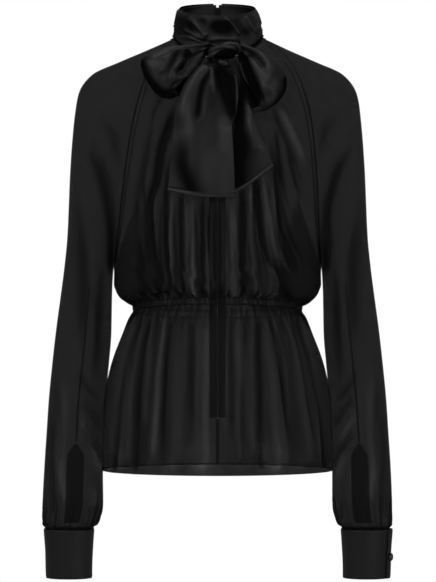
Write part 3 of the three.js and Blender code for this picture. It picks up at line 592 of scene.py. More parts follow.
def torsoRows(side, front):
    angles = np.linspace(neckAngle, 180, torso["seamRows"])
    upper = seamRows(side, angles, front)
    key = "front" if front else "back"
    even = np.ones_like(blousing["sideX"])
    blouse = np.column_stack([
        side["sign"] * blousing["sideX"], sideY * even, blousing["sideZ"],
        blousing[key + "Y"], blousing[key + "Z"], 90.0 * even,
    ])
    last = seamRows(side, np.array([180 - (180 - neckAngle) / torso["seamSteps"], 180.0]), front)
    control = np.vstack([last, blouse])
    at = np.linspace(1, len(control) - 1, torso["blousingRows"] + 1)[1:]
    lower = np.column_stack([curve(np.arange(len(control)), column)(at) for column in control.T])
    return np.vstack([upper, lower])


casingTop = blousing["sideZ"][-1] - seamGap
casingBottom = casingTop - casingHeight
peplumTop = casingBottom - seamGap


def peplumGridRows(side, front):
    at = np.linspace(0, len(peplumRows["sideX"]) - 1, torso["peplumRows"])
    row = {key: line(at) for key, line in tableCurves(peplumRows).items()}
    z = peplumTop + row["sideZ"]
    tilt = waistTilt * (1 - smooth(0, -150, row["sideZ"]))
    centreY = row["frontY"] if front else row["backY"]
    return np.column_stack([
        side["sign"] * row["sideX"], np.full_like(z, sideY), z,
        centreY, z - tilt * (centreY - sideY), np.full_like(z, 90.0),
    ])


def frontGrid(rowsOf):
    across = np.linspace(-1, 1, torso["frontColumns"] + 1)
    left, right = rowsOf(sides["left"]), rowsOf(sides["right"])
    halves = np.where((across < 0)[None, :, None], left[:, None, :], right[:, None, :])
    return torsoPoints(halves, np.abs(across)[None, :]), across


def backGrid(side, rowsOf):
    rows = rowsOf(side)
    gap = np.where(rows[:, 4] > zipEnd, zipHalfGap, torso["peplumSeamGap"])
    most = np.radians(rows[:, 5])
    first = np.arcsin(gap / np.abs(rows[:, 0]) * np.sin(most)) / most
    across = np.linspace(0, 1, torso["backColumns"] + 1)
    u = first[:, None] + (1 - first[:, None]) * across[None, :]
    grid = torsoPoints(rows[:, None, :], u)
    if side["sign"] > 0:
        grid, u = grid[:, ::-1], u[:, ::-1]
    return grid, u


bodice = dict(
    folds=[
        ([(-58, -83), (-72, -120), (-84, -157), (-91, -202), (-101, -238), (-97, -282), (-90, -328),
          (-86, -376)], -9, 6.5, (0.15, 0), 1.5),
        ([(-66, -150), (-74, -200), (-77, -240), (-77, -285), (-73, -330), (-70, -376)],
         -6, 5, (0.3, 0), 1.4),
        ([(-50, -200), (-54, -250), (-54, -300), (-50, -376)], -5.5, 5, (0.25, 0)),
        ([(-36, -215), (-37, -272), (-35, -330), (-34, -372)], 3.5, 5, (0.3, 0.1)),
        ([(-24, -215), (-22, -272), (-23, -330), (-20, -376)], -6, 4.5, (0.2, 0), 1.4),
        ([(-14, -230), (-13, -272), (-12, -322)], -3.5, 3, (0.3, 0.4)),
        ([(0, -225), (1, -272), (1, -330), (3, -376)], -4.5, 4, (0.2, 0)),
        ([(14, -215), (21, -262), (20, -310), (24, -372)], 4.5, 7, (0.3, 0.1), 1, -0.45),
        ([(25, -232), (29, -272), (28, -322), (31, -366)], -2.4, 2, (0.2, 0.2), 1, 0.4),
        ([(30, -185), (36, -230), (38, -272), (38, -330), (41, -376)], -7, 5.5, (0.3, 0), 1.4),
        ([(50, -160), (56, -210), (62, -262), (74, -310), (92, -340), (100, -372)], -7, 5.5, (0.3, 0), 1.3),
        ([(72, -205), (76, -250), (84, -300), (106, -334), (122, -352)], 5, 5, (0.3, 0.3)),
        ([(72, -130), (84, -180), (88, -230), (91, -268), (106, -318), (122, -346)],
         -6, 5.5, (0.3, 0.2), 1.3),
        ([(84, -118), (90, -167), (96, -212), (110, -262)], -5, 4, (0.2, 0.5)),
        ([(100, -150), (112, -195), (124, -236)], -4.5, 4, (0.3, 0.4)),
        ([(86, -92), (108, -137), (129, -181)], 5, 5.5, (0.2, 0.3)),
        ([(78, -94), (98, -139), (117, -186), (128, -218)], -4, 4, (0.2, 0.4)),
        ([(-92, -104), (-104, -160), (-114, -215), (-122, -270)], -3.5, 7, (0.3, 0.4)),
        ([(-70, -66), (-88, -92), (-100, -130)], -3, 5, (0.3, 0.5)),
        ([(-88, -245), (-88, -300), (-82, -345)], 3, 4.5, (0.4, 0.3)),
        ([(-66, -240), (-66, -290), (-62, -345)], 3, 4.5, (0.4, 0.3)),
        ([(-112, -280), (-112, -330), (-106, -368)], -4, 5, (0.3, 0), 1.3),
    ],
    streaks=table("topX topZ middleX lowX lowZ depth width", [
        (-108, -190, -106, -100, -330, -2.4, 2.2), (-88, -200, -93, -92, -350, 2.6, 2.4),
        (-84, -232, -84, -80, -352, -2.6, 1.8), (-66, -215, -68, -66, -362, 2.8, 2.2),
        (-62, -236, -61, -58, -372, -2.8, 1.8), (-45, -230, -44, -44, -368, 2.6, 3.2),
        (-31, -232, -30, -27, -372, -3.2, 1.8), (-27, -240, -27, -24, -350, 1.6, 1.5),
        (-18, -236, -17, -15, -372, 2.4, 1.8), (-9, -236, -9, -7, -360, 2.8, 2.0),
        (-4, -236, -4, -3, -372, -2.6, 1.4), (7, -236, 8, 9, -360, 1.8, 1.8),
        (26, -236, 27, 30, -372, 3.2, 2.6), (33, -232, 33, 36, -360, -2.6, 1.6),
        (46, -190, 48, 54, -368, 2.8, 2.4), (52, -200, 56, 64, -360, -2.8, 1.8),
        (66, -186, 70, 88, -352, 3.0, 2.4), (74, -200, 79, 100, -340, -3.0, 2.0),
        (80, -196, 86, 112, -326, 2.4, 2.2), (92, -214, 100, 126, -318, -2.4, 2.4),
        (-98, -214, -103, -112, -320, 2.0, 2.6), (-118, -300, -118, -112, -366, -2.4, 2.4),
        (-57, -252, -58, -55, -340, 1.8, 1.4), (-38, -246, -39, -40, -330, -2.4, 1.3),
        (14, -236, 15, 17, -345, -2.6, 1.3), (20, -240, 21, 22, -350, 2.2, 1.2),
        (60, -196, 62, 74, -350, -2.6, 1.6), (88, -205, 94, 118, -330, -2.2, 1.6),
        (42, -238, 43, 45, -335, 2.0, 1.4), (-14, -240, -13, -11, -330, -2.2, 1.1),
        (-74, -240, -75, -72, -350, -2.0, 1.6),
    ]),
    underArm=table("z outer inner", [
        (-222, 117, 117), (-240, 120, 112), (-260, 127, 106), (-285, 135, 97),
        (-320, 146, 92), (-370, 152, 92),
    ]),
    puckers=[(6.3, 1.1), (9.1, 1.5), (16.7, 1.4)],
    puckerReach=34, puckerShade=0.42, waistShade=0.3, middleShade=0.12, underArmShade=0.42,
    wander=dict(start=-300, end=-345, amount=1.7),
    overZip=dict(shade=-0.4, halfWidth=12, top=-215, bottom=-372),  # lighter, so that the zip shows less
)


def wandered(x, z, start, end, amount):  # gathers swing to and fro where they are drawn together
    swing = np.sin(z / 6.1 + x / 9) + 0.7 * np.sin(z / 3.7 + x / 5.3 + 1)
    return x + amount * smooth(start, end, z) * swing


# Fine streaks: each makes the cloth denser and paints shade in its trough and highlight on its ridge.
def streakLines(x, z, streaks):
    height, denseAndShaded = np.zeros(x.shape), np.zeros(x.shape)
    for topX, topZ, middleX, lowX, lowZ, depth, width in zip(*streaks.values()):
        at = curve([lowZ, (topZ + lowZ) / 2, topZ], [lowX, middleX, topX])(z) + 0.8 * np.sin(z / 17 + topX)
        fade = smooth(topZ + 4, topZ - 34, z) * smooth(lowZ - 6, lowZ + 22, z)
        shape = bell(x - at, width) * fade
        height += depth * shape
        denseAndShaded += -depth / 4 * shape
    return height, denseAndShaded


def underArmDensity(x, z):  # the sleeve's and the bodice's layers lie over each other here
    area = bodice["underArm"]
    outer = curve(area["z"], area["outer"])(z)
    inner = curve(area["z"], area["inner"])(z)
    x = np.abs(x)
    return smooth(outer + 2, outer - 3, x) * smooth(inner - 4, inner + 5, x) * smooth(-222, -232, z)


def drawnIn(grid, seed, waves, reach, full):  # gathers at the last row, where the elastic holds the cloth
    wander = ripple(grid[..., 2], seed + 5, [(31, 0.6), (17, 0.4)])
    wave = ripple(lengths(grid[-1])[None, :] + wander, seed, waves)
    away = fromLast(grid)
    return away, wave, smooth(reach, full, away) * smooth(0, 2.5, away)


def sideFullness(across, z):  # the body's sides reach the sleeves, so no light shows between
    body = 1.7 * smooth(-300, -325, z) * smooth(-362, -350, z)
    skirt = 1.3 * smooth(-430, -480, z)
    return (body + skirt) * smooth(0.8, 1, across)


def makeFrontBodice():
    grid, across = frontGrid(lambda side: torsoRows(side, True))
    x, z = seen(grid)
    x = wandered(x, z, **bodice["wander"])
    height, denseAndShaded = creased(x, z, bodice["folds"])
    fineHeight, fineDense = streakLines(x, z, bodice["streaks"])
    middle = bodice["middleShade"] * smooth(-225, -270, z) * bell(x, 90)
    height, denseAndShaded = height + fineHeight, denseAndShaded + fineDense + middle
    toWaist, wave, near = drawnIn(grid, 11, bodice["puckers"], bodice["puckerReach"], 4)
    settle = smooth(0, 9, toWaist)
    height = height * settle + wave * near
    denseAndShaded = denseAndShaded * settle + np.clip(-wave, -1.5, 3) * bodice["puckerShade"] * near \
        + bodice["waistShade"] * smooth(10, 3, toWaist)
    strip = bodice["overZip"]
    overZip = smooth(strip["halfWidth"] + 1, strip["halfWidth"] - 1, np.abs(x)) \
        * smooth(strip["top"] + 10, strip["top"] - 10, z) * smooth(strip["bottom"] - 6, strip["bottom"] + 6, z)
    denseAndShaded = denseAndShaded + bodice["underArmShade"] * underArmDensity(x, z) + strip["shade"] * overZip
    edge = smooth(1, 0.93, np.abs(across))[None, :]
    grid = pushed(grid, height * edge + sideFullness(np.abs(across)[None, :], z))
    return grid, np.clip(denseAndShaded, -0.6, 1.2)


back = dict(
    folds=table("topX hemX depth width", [
        (28, 34, -4, 6), (46, 57, -5, 7), (66, 84, -5, 7), (86, 112, -5, 8), (104, 138, -4, 8),
        (37, 45, 2.5, 6), (76, 98, 3, 7),
    ]),
    puckers=[(7.1, 0.8), (10.3, 1.0)],
    puckerReach=28, puckerShade=0.25, waistShade=0.9, underArmShade=0.3,
    skirtPuckerReach=40, skirtPuckerShade=0.22, skirtWaistShade=0.5, skirtHemShade=0.1,
    shift=dict(left=0, right=3),
)


def backRelief(grid, name):
    x, z = grid[..., 0], grid[..., 2]
    down = np.clip((-380 - z) / 238, 0, 1)
    height, denseAndShaded = np.zeros(x.shape), np.zeros(x.shape)
    for topX, hemX, depth, width in zip(*back["folds"].values()):
        at = mix(topX, hemX, down) + back["shift"][name] + 3 * np.sin(z / 60 + topX)
        shape = bell(np.abs(x) - at, width * (1 + 0.5 * down))
        height += depth * shape
        # Each fold is denser and painted darker in its trough, and painted lighter on its ridge.
        denseAndShaded += -depth / 9 * shape
    return height, denseAndShaded


def makeBackBodice(name):
    side = sides[name]
    grid, u = backGrid(side, lambda half: torsoRows(half, False))
    height, denseAndShaded = backRelief(grid, name)
    reach = smooth(-215, -330, grid[..., 2])
    toWaist, wave, near = drawnIn(grid, 31 + side["sign"], back["puckers"], back["puckerReach"], 4)
    settle = smooth(0, 9, toWaist)
    height = height * reach * settle + wave * near
    denseAndShaded = denseAndShaded * reach * settle + np.clip(-wave, 0, 3) * back["puckerShade"] * near \
        + back["waistShade"] * smooth(3.5, 1, toWaist)
    denseAndShaded = denseAndShaded + back["underArmShade"] * underArmDensity(grid[..., 0] * 0.98, grid[..., 2])
    flat = smooth(1, 0.93, u) * smooth(13, 26, np.abs(grid[..., 0]))
    return pushed(grid, height * flat + sideFullness(u, grid[..., 2])), np.clip(denseAndShaded, -0.3, 1)


peplum = dict(
    folds=[
        ([(-108, -392), (-130, -450), (-143, -530), (-152, -612)], -5, 5, (0.1, 0), 1.3),
        ([(-97, -392), (-113, -456), (-119, -530), (-121, -612)], -5.5, 4.5, (0.1, 0), 1.4),
        ([(-84, -390), (-94, -430), (-98, -470)], -4, 3.5, (0.15, 0.6)),
        ([(-66, -390), (-75, -460), (-79, -530), (-82, -612)], -4.5, 4, (0.1, 0.2), 0.8),
        ([(-52, -400), (-57, -480), (-62, -612)], 2, 8, (0.3, 0)),
        ([(-36, -390), (-38, -460), (-39, -530), (-46, -590)], -4.5, 3.5, (0.1, 0.4), 1.3),
        ([(-14, -400), (-18, -500), (-22, -612)], 2, 9, (0.2, 0)),
        ([(20, -390), (20, -460), (21, -530), (18, -600)], -4.5, 3.5, (0.1, 0.3)),
        ([(42, -390), (41, -430), (41, -472)], -4.5, 3.5, (0.1, 0.6)),
        ([(59, -390), (60, -460), (62, -530), (64, -612)], -4.5, 4, (0.1, 0), 1.3),
        ([(72, -390), (90, -445), (99, -530), (112, -600)], -5.5, 4, (0.1, 0.4), 0.8),
        ([(88, -390), (106, -436), (111, -492)], -4.5, 3.5, (0.15, 0.5)),
        ([(112, -392), (131, -450), (148, -530), (158, -612)], -5, 4.5, (0.1, 0)),
        ([(30, -450), (34, -520), (36, -600)], -2, 8, (0.4, 0.2)),
        ([(-128, -430), (-133, -520), (-138, -612)], 2, 7, (0.3, 0)),
        ([(76, -470), (80, -540), (86, -612)], 2.5, 8, (0.3, 0)),
    ],
    light=table("x z width density", [
        (-22, -604, 15, -0.5), (-33, -596, 9, -0.3), (82, -602, 14, -0.5), (66, -590, 10, -0.3),
        (-140, -600, 9, -0.4), (-72, -606, 10, -0.25), (118, -604, 9, -0.3),
    ]),
    streaks=table("topX topZ middleX lowX lowZ depth width", [
        (-118, -392, -140, -152, -600, 2.2, 5), (-103, -388, -122, -129, -612, 3.0, 4.5),
        (-90, -388, -100, -104, -560, 2.6, 4), (-74, -388, -86, -92, -600, 2.8, 4.5),
        (-45, -392, -50, -54, -612, 2.6, 4.5), (-28, -392, -29, -31, -600, 2.4, 4),
        (-14, -400, -16, -16, -610, 2.6, 4), (11, -420, 11, 11, -560, 2.0, 3),
        (30, -390, 31, 31, -610, 3.6, 4), (50, -390, 50, 52, -600, 2.6, 4),
        (68, -388, 78, 86, -612, 3.0, 5), (80, -388, 96, 104, -560, 2.6, 3.5),
        (98, -392, 122, 134, -612, 3.0, 6), (120, -396, 142, 152, -600, 2.0, 4),
        (-70, -388, -77, -79, -560, -2.4, 1.8), (-96, -388, -112, -117, -560, -2.4, 1.8),
        (-40, -390, -41, -42, -540, -2.2, 1.6), (62, -390, 63, 65, -560, -2.4, 1.8),
        (75, -388, 92, 105, -580, -2.6, 1.8), (104, -390, 124, 140, -580, -2.2, 2.0),
    ]),
    hemDepth=17.4, hemShade=0.86, hemStitch=15.6, puckers=[(6.7, 0.8), (9.7, 1.1), (15.1, 0.9)],
    puckerReach=42, puckerShade=0.25, waistShade=0.8, sideShade=0.4, hemLift=0.4,
)


def turnedHem(grid):  # doubled cloth, a little thicker, with a soft edge at its fold
    depth = peplum["hemDepth"] * np.clip(np.abs(grid[-1, :, 1]) / 127, 0.25, 1)[None, :]
    return smooth(depth + 1.2, depth - 1.2, fromLast(grid))


def drawnInAtTop(grid, seed, waves, reach):
    return [part[::-1] for part in drawnIn(grid[::-1], seed, waves, reach, 6)]


def makePeplumFront():
    grid, across = frontGrid(lambda side: peplumGridRows(side, True))
    x, z = seen(grid)
    height, denseAndShaded = creased(x, z, peplum["folds"])
    fineHeight, fineDense = streakLines(x, z, peplum["streaks"])
    height, denseAndShaded = height + fineHeight, denseAndShaded + fineDense
    fromTop, wave, near = drawnInAtTop(grid, 17, peplum["puckers"], peplum["puckerReach"])
    settle = smooth(0, 12, fromTop)
    height = height * (settle * (0.75 + 0.5 * fromTop / 230)) + wave * near
    denseAndShaded = denseAndShaded * settle + np.clip(-wave, -1, 3) * peplum["puckerShade"] * near \
        + peplum["waistShade"] * smooth(2.5, 0.5, fromTop)
    hem = turnedHem(grid)
    denseAndShaded = np.clip(denseAndShaded * 0.8, -0.55, 0.9) + 0.05
    denseAndShaded = denseAndShaded + peplum["sideShade"] * smooth(16, 10, fromTop) * smooth(50, 66, np.abs(x + 4))
    denseAndShaded = shaded(denseAndShaded, x, z, peplum["light"], 0.6)
    denseAndShaded = mix(denseAndShaded, peplum["hemShade"] + denseAndShaded * 0.6, hem)
    edge = smooth(1, 0.93, np.abs(across))[None, :]
    height = height * edge + peplum["hemLift"] * hem
    return pushed(grid, height + sideFullness(np.abs(across)[None, :], z)), denseAndShaded


def makePeplumBack(name):
    side = sides[name]
    grid, u = backGrid(side, lambda half: peplumGridRows(half, False))
    height, denseAndShaded = backRelief(grid, name)
    fromTop, wave, near = drawnInAtTop(grid, 41 + side["sign"], back["puckers"], back["skirtPuckerReach"])
    settle = smooth(0, 12, fromTop)
    height = height * settle + wave * near
    denseAndShaded = denseAndShaded * settle + np.clip(-wave, 0, 3) * back["skirtPuckerShade"] * near \
        + back["skirtWaistShade"] * smooth(8, 0, fromTop)
    besideSeam = smooth(13, 26, np.abs(grid[..., 0]))
    hem = turnedHem(grid)
    # The hem is denser and painted darker, with a thin darker line at its edge.
    denseAndShaded = np.clip(denseAndShaded * besideSeam, -0.4, 1) + back["skirtHemShade"] * hem \
        + 0.2 * smooth(1.6, 0.6, fromLast(grid))
    height = height * (smooth(1, 0.93, u) * besideSeam) + peplum["hemLift"] * hem
    return pushed(grid, height + sideFullness(u, grid[..., 2])), denseAndShaded


stitchLines = []
stitchLift = 0.12


def outline(grid, inset):  # three edges of a cloth strip, a little inside its border
    line = np.vstack([grid[::-1, 0], grid[0], grid[:, -1]])
    middle = grid[::-1, grid.shape[1] // 2]
    centre = np.vstack([np.interp(line[:, 2], middle[:, 2], middle[:, k]) for k in range(3)]).T
    away = centre - line
    length = np.maximum(np.linalg.norm(away, axis=1, keepdims=True), 1e-6)
    keep = length[:, 0] > inset * 1.6
    return (line + away / length * inset)[keep]


def offset(line, distance):  # away from the sleeve's middle line
    side = np.sign(line[:, 0].mean())
    away = line - np.array([side * 206, -36, 0])
    away[:, 2] = 0
    return line + away / np.linalg.norm(away, axis=1, keepdims=True) * distance


def rowAt(grid, fromEnd):  # the line of a grid that lies this far above its last row
    return grid[int(np.argmin(np.abs(fromLast(grid).mean(1) - fromEnd)))]


def sewBodicePiece(name, node, made, flat, area, hemmed=False):
    grid, fold = made
    if hemmed:
        stitchLines.append(rowAt(lifted(grid, stitchLift), peplum["hemStitch"])[2:-2])
    sewn(name, node, "georgette", grid, fold, clothThickness,
         flat=flat, held="gathered", rests_on=["waistCasing"], area=area)


sewBodicePiece("frontBodice", "front_bodice", makeFrontBodice(), (0.46, 0.42), 0.135)
sewBodicePiece("peplumFront", "peplum_front", makePeplumFront(), (0.52, 0.24), 0.122, True)
for name in sides:
    bodiceHalf, peplumHalf = makeBackBodice(name), makePeplumBack(name)
    sewBodicePiece("backBodice_" + name, "back_bodice_" + name, bodiceHalf, (0.24, 0.42), 0.072)
    sewBodicePiece("peplumBack_" + name, "peplum_back_" + name, peplumHalf, (0.27, 0.24), 0.060, True)
print("bodice and peplum made")


# Sleeves

sleeve = dict(
    rows=164, columns=146,
    frontFolds={
        "left": [
            ([(-200, -150), (-180, -166), (-166, -190), (-156, -235), (-150, -290), (-149, -344)],
             -3.6, 8, (0.3, 0.1), 1.6),
            ([(-205, -210), (-196, -300), (-193, -380), (-196, -470)], -2.5, 12, (0.3, 0.4)),
            ([(-168, -300), (-166, -360), (-172, -440), (-180, -500)], -3, 8, (0.3, 0.4)),
            ([(-201, -520), (-186, -530), (-170, -552), (-164, -566)], -2.6, 8, (0.2, 0.2), 1.6),
            ([(-198, -552), (-184, -568), (-170, -590), (-162, -612)], -2.6, 7, (0.2, 0.2), 1.6),
            ([(-200, -540), (-190, -560), (-176, -584)], 2.4, 5, (0.3, 0.3)),
            ([(-184, -580), (-176, -600), (-168, -626)], 2.2, 6, (0.3, 0.3)),
            ([(-222, -470), (-222, -540), (-226, -600), (-216, -676)], 3.6, 8, (0.4, 0.15)),
            ([(-236, -520), (-240, -600), (-236, -690)], -2.6, 7, (0.3, 0.1)),
            ([(-176, -640), (-178, -672)], 2.4, 8, (0.2, 0.2)),
            ([(-180, -630), (-172, -650), (-176, -700)], -2.2, 5, (0.4, 0.1)),
            ([(-170, -110), (-150, -140), (-140, -190)], -2.5, 9, (0.4, 0.4)),
        ],
        "right": [
            ([(202, -140), (184, -170), (168, -205), (157, -246), (160, -282), (153, -347)],
             -3.6, 8, (0.3, 0.1), 0.7),
            ([(206, -220), (199, -310), (196, -390), (200, -480)], -2.5, 12, (0.3, 0.4)),
            ([(168, -300), (168, -370), (174, -440), (184, -505)], -3, 8, (0.3, 0.4)),
            ([(202, -512), (186, -526), (170, -548), (164, -560)], -2.6, 8, (0.2, 0.2), 0.7),
            ([(198, -560), (184, -578), (170, -600), (163, -620)], -2.6, 7, (0.2, 0.2), 0.7),
            ([(200, -536), (188, -556), (174, -580)], 2.4, 5, (0.3, 0.3)),
            ([(186, -590), (178, -610), (170, -640)], 2.4, 6, (0.3, 0.3)),
            ([(222, -460), (221, -540), (224, -610), (216, -676)], 3.4, 7, (0.4, 0.15)),
            ([(237, -520), (241, -600), (238, -690)], -2.6, 7, (0.3, 0.1)),
            ([(178, -660), (176, -690)], -2.2, 5, (0.3, 0.1)),
            ([(172, -100), (152, -134), (143, -180)], -2.5, 9, (0.4, 0.4)),
        ],
    },
    backFolds=[
        ([(198, -150), (178, -175), (164, -215), (154, -270), (150, -340)], -5, 9, (0.3, 0.1)),
        ([(200, -260), (194, -350), (200, -450)], -3, 11, (0.3, 0.4)),
        ([(176, -340), (170, -420), (178, -520)], -3, 8, (0.3, 0.4)),
        ([(205, -470), (186, -500), (168, -520)], -3.5, 7, (0.3, 0.2)),
        ([(236, -480), (226, -560), (232, -640)], -3, 8, (0.3, 0.4)),
    ],
    gathers=[(5.9, 0.7), (8.3, 0.9), (12.7, 0.6)],
    gatherShade=0.28, cuffShade=0.4, edgeShade=0.3, tuckIn=2.5, tuckDown=3,
)
placket = dict(
    tipZ=-580, shoulderZ=-596, endZ=-693, angle=270, halfAngle=17, thickness=0.7, rows=60, columns=33,
    stitchInset=1.6, stitchLift=0.15, fold=0.85, halfFold=0.5,
)


def makeSleeve(name):
    side = sides[name]
    sign = side["sign"]
    station = lastStation * np.linspace(0, 1, sleeve["rows"])
    angle = 360 * np.arange(sleeve["columns"]) / sleeve["columns"]
    grid = sleevePoint(side, station[:, None], angle[None, :])
    front, behind = (smooth(0.0, 0.35, facing * np.sin(np.radians(angle)))[None, :] for facing in (1, -1))
    x, z = seen(grid)
    frontHeight, frontDense = creased(x, z, sleeve["frontFolds"][name])
    backHeight, backDense = creased(np.abs(x), z, sleeve["backFolds"])
    fromPlacket = np.abs(angle - placket["angle"])[None, :]
    clear = 1 - smooth(placket["halfAngle"] + 18, placket["halfAngle"] + 2, fromPlacket) \
        * smooth(placket["tipZ"] + 25, placket["tipZ"], z)
    seamEdge = smooth(0, 0.7, station)[:, None]
    toCuff = (lastStation - station)[:, None]
    along = lengths(grid[-12])
    wander = ripple(z, 71, [(38, 0.9), (21, 0.5)])
    wave = ripple(along[None, :] + wander, 61 + sign, sleeve["gathers"])
    near = smooth(4.4, 0.9, toCuff) * smooth(0.0, 0.25, toCuff)
    folds = (frontHeight * front + backHeight * behind) * seamEdge
    height = (folds * smooth(0, 1.2, toCuff) + wave * near) * clear
    denseAndShaded = (frontDense * front + backDense * behind) * seamEdge \
        + np.clip(-wave, 0, 3) * sleeve["gatherShade"] * near + sleeve["cuffShade"] * smooth(0.5, 0, toCuff)
    grid = pushed(grid, height - sleeve["tuckIn"] * smooth(0.4, 0.12, toCuff), True, sign > 0)
    grid[..., 2] -= sleeve["tuckDown"] * smooth(0.11, 0, toCuff)
    return grid, np.clip(denseAndShaded * clear, -0.6, 1) + sleeve["edgeShade"] * smooth(0.14, 0.02, toCuff)


def makePlacket(name):
    side = sides[name]
    down, across = np.linspace(0, 1, placket["rows"]), np.linspace(-1, 1, placket["columns"])
    top = mix(placket["tipZ"], placket["shoulderZ"], smooth(0, 1.25, np.abs(across)) * 1.12)
    z = mix(top[None, :], placket["endZ"], down[:, None])
    angle = placket["angle"] + placket["halfAngle"] * across
    grid = sleevePoint(side, stationAt(z), np.broadcast_to(angle, z.shape))
    return lifted(grid, placket["thickness"] + layerGap, side["sign"] > 0)


seam = dict(
    width=1.5, centreWidth=2.4, inside=0.95, thickness=0.35, sleeveSpan=(-578, -330),
    frontDensity=0.7, backDensity=0.1, centreDensity=1.0,
)


def seamStrips(name):  # the sewn edges inside the raglan, side and centre back seams
    side = sides[name]
    right = side["sign"] > 0
    parts = []

    def strip(columns, density, flip=False):
        grid = lifted(np.stack(columns[::-1] if flip else columns, 1), -seam["inside"])
        parts.append(clothArrays(grid, seam["thickness"], fold=density))

    def aside(rows, distance):  # points beside a panel's end, along its surface
        length = 1.4 * np.abs(rows[:, 0])
        return torsoPoints(rows[:, None, :], (1 - distance / length)[:, None])[:, 0]

    angles = np.linspace(neckAngle, 180, torso["seamRows"])
    for front in (True, False):
        turned = angles if front else 360 - angles
        onSleeve = [sleevePoint(side, np.full_like(turned, station), turned) for station in (0.04, 0)]
        onBody = aside(seamRows(side, angles, front), seam["width"])
        strip([*onSleeve, onBody], seam["frontDensity" if front else "backDensity"], front == right)
    for rowsOf, first in ((torsoRows, torso["seamRows"] - 1), (peplumGridRows, 0)):
        front, behind = (rowsOf(side, facing)[first:] for facing in (True, False))
        columns = [aside(front, seam["width"]), front[:, :3], aside(behind, seam["width"])]
        strip(columns, seam["frontDensity"], not right)
    z = np.linspace(*seam["sleeveSpan"], 80)
    station = stationAt(np.minimum(z, -415)) - np.clip(z + 415, 0, 99) / 45
    columns = [sleevePoint(side, station, np.full_like(z, placket["angle"] + turn)) for turn in (-2, 0, 2)]
    strip(columns, smooth(-340, -500, z)[:, None] * 1.1 - 0.2, right)
    if right:
        rows = peplumGridRows(side, False)
        rows = rows[rows[:, 4] < zipEnd]
        width = seam["centreWidth"]
        columns = [np.column_stack([np.full(len(rows), x), rows[:, 3:5]]) for x in (width, 0, -width)]
        strip(columns, seam["centreDensity"])
    return parts


for name, side in sides.items():
    flip = side["sign"] > 0
    grid, fold = makeSleeve(name)
    seams = finished(joinedCloth("seamAllowance_" + name, seamStrips(name), cloths["georgette"]), "georgette")
    sewn("sleeveCloth_" + name, "sleeve_" + name, "georgette", grid, fold, clothThickness,
         ring=True, flip=flip, extra=[seams],
         flat=(0.44, 0.74), held="draped", rests_on=["frontBodice", "backBodice_" + name], area=0.21)
    grid = makePlacket(name)
    # The placket's cloth is denser and its colour is painted darker as painted shade, one half more than the
    # other.
    fold = placket["fold"] + placket["halfFold"] * smooth(-0.1, 0.1, np.linspace(1, -1, placket["columns"]))
    stitchLines.append(offset(outline(grid, placket["stitchInset"]), placket["stitchLift"]))
    sewn("sleevePlacket_" + name, "sleeve_placket_" + name, "georgette", grid, fold, placket["thickness"],
         flip=flip, flat=(0.028, 0.125), held="laid", rests_on=["sleeveCloth_" + name])
print("sleeves made")


# Waist casing

def fromZip(gap, radius, count):  # angles once around, from one side of the zip to the other
    start = math.degrees(math.asin(gap / radius))
    return np.linspace(90 + start, 450 - start, count)


casingLook = dict(
    halfWidth=120.5, front=88, back=84, rows=9, columns=420, inset=1.2, thickness=1.6,
    plump=0.9, waves=[(4.3, 0.35), (6.9, 0.45)], fold=0.2, waveFold=0.7,
)


def makeCasing():
    look = casingLook
    angle = np.radians(fromZip(zipHalfGap, look["halfWidth"], look["columns"]))
    z = np.linspace(casingTop + look["inset"], casingBottom - look["inset"], look["rows"])[:, None]
    sin, cos = np.sin(angle)[None, :], np.cos(angle)[None, :]
    y = sideY + sin * np.where(sin > 0, look["back"] - sideY, sideY + look["front"])
    grid = np.stack(np.broadcast_arrays(look["halfWidth"] * cos, y, z - waistTilt * (y - sideY)), -1)
    plump = np.sin(np.linspace(0, math.pi, look["rows"]))[:, None]
    wave = ripple(lengths(grid[0]), 23, look["waves"])[None, :]
    height = 0.7 + plump * look["plump"] + wave * (0.35 + 0.65 * plump)
    # The casing is a little denser and painted darker, more so in the gathers' troughs; their crests are
    # painted lighter.
    return pushed(grid, height), np.clip(look["fold"] - wave * look["waveFold"], -0.3, 1.0)


grid, fold = makeCasing()
stitchLines.extend(lifted(grid, stitchLift)[[1, -2]])
sewn("waistCasing", "waist_casing", "georgette", grid, fold, casingLook["thickness"],
     flat=(0.70, 0.010), held="gathered", rests_on=["frontBodice"])


# Collar

def necklinePoints():
    angles, u = np.array([neckAngle]), np.linspace(0, 1, 41)
    loop = []
    for side in sides.values():
        for front in (True, False):
            row = seamRows(side, angles, front)
            loop.append(torsoPoints(row[:, None, :], u[None, :])[0])
        over = np.linspace(neckAngle, -neckAngle, 21) % 360
        loop.append(sleevePoint(side, np.zeros_like(over), over))
    loop = np.vstack(loop)
    turn = np.degrees(np.arctan2(loop[:, 1], loop[:, 0])) % 360
    order = np.argsort(turn)
    turn, loop = turn[order], loop[order]
    keep = np.concatenate([[True], np.diff(turn) > 0.02])
    turn, loop = turn[keep], loop[keep]
    turn = np.concatenate([turn[-4:] - 360, turn, turn[:4] + 360])  # past both ends, so that it closes
    loop = np.concatenate([loop[-4:], loop, loop[:4]])
    return [curve(turn, loop[:, k]) for k in range(3)]


neckline = necklinePoints()
rim = dict(halfWidth=53, front=-53, back=42, frontZ=31, backZ=58)
neckInward = curve([0, 0.12, 0.3, 0.6, 0.85, 1], [0, 0.4, 0.54, 0.6, 0.76, 1])


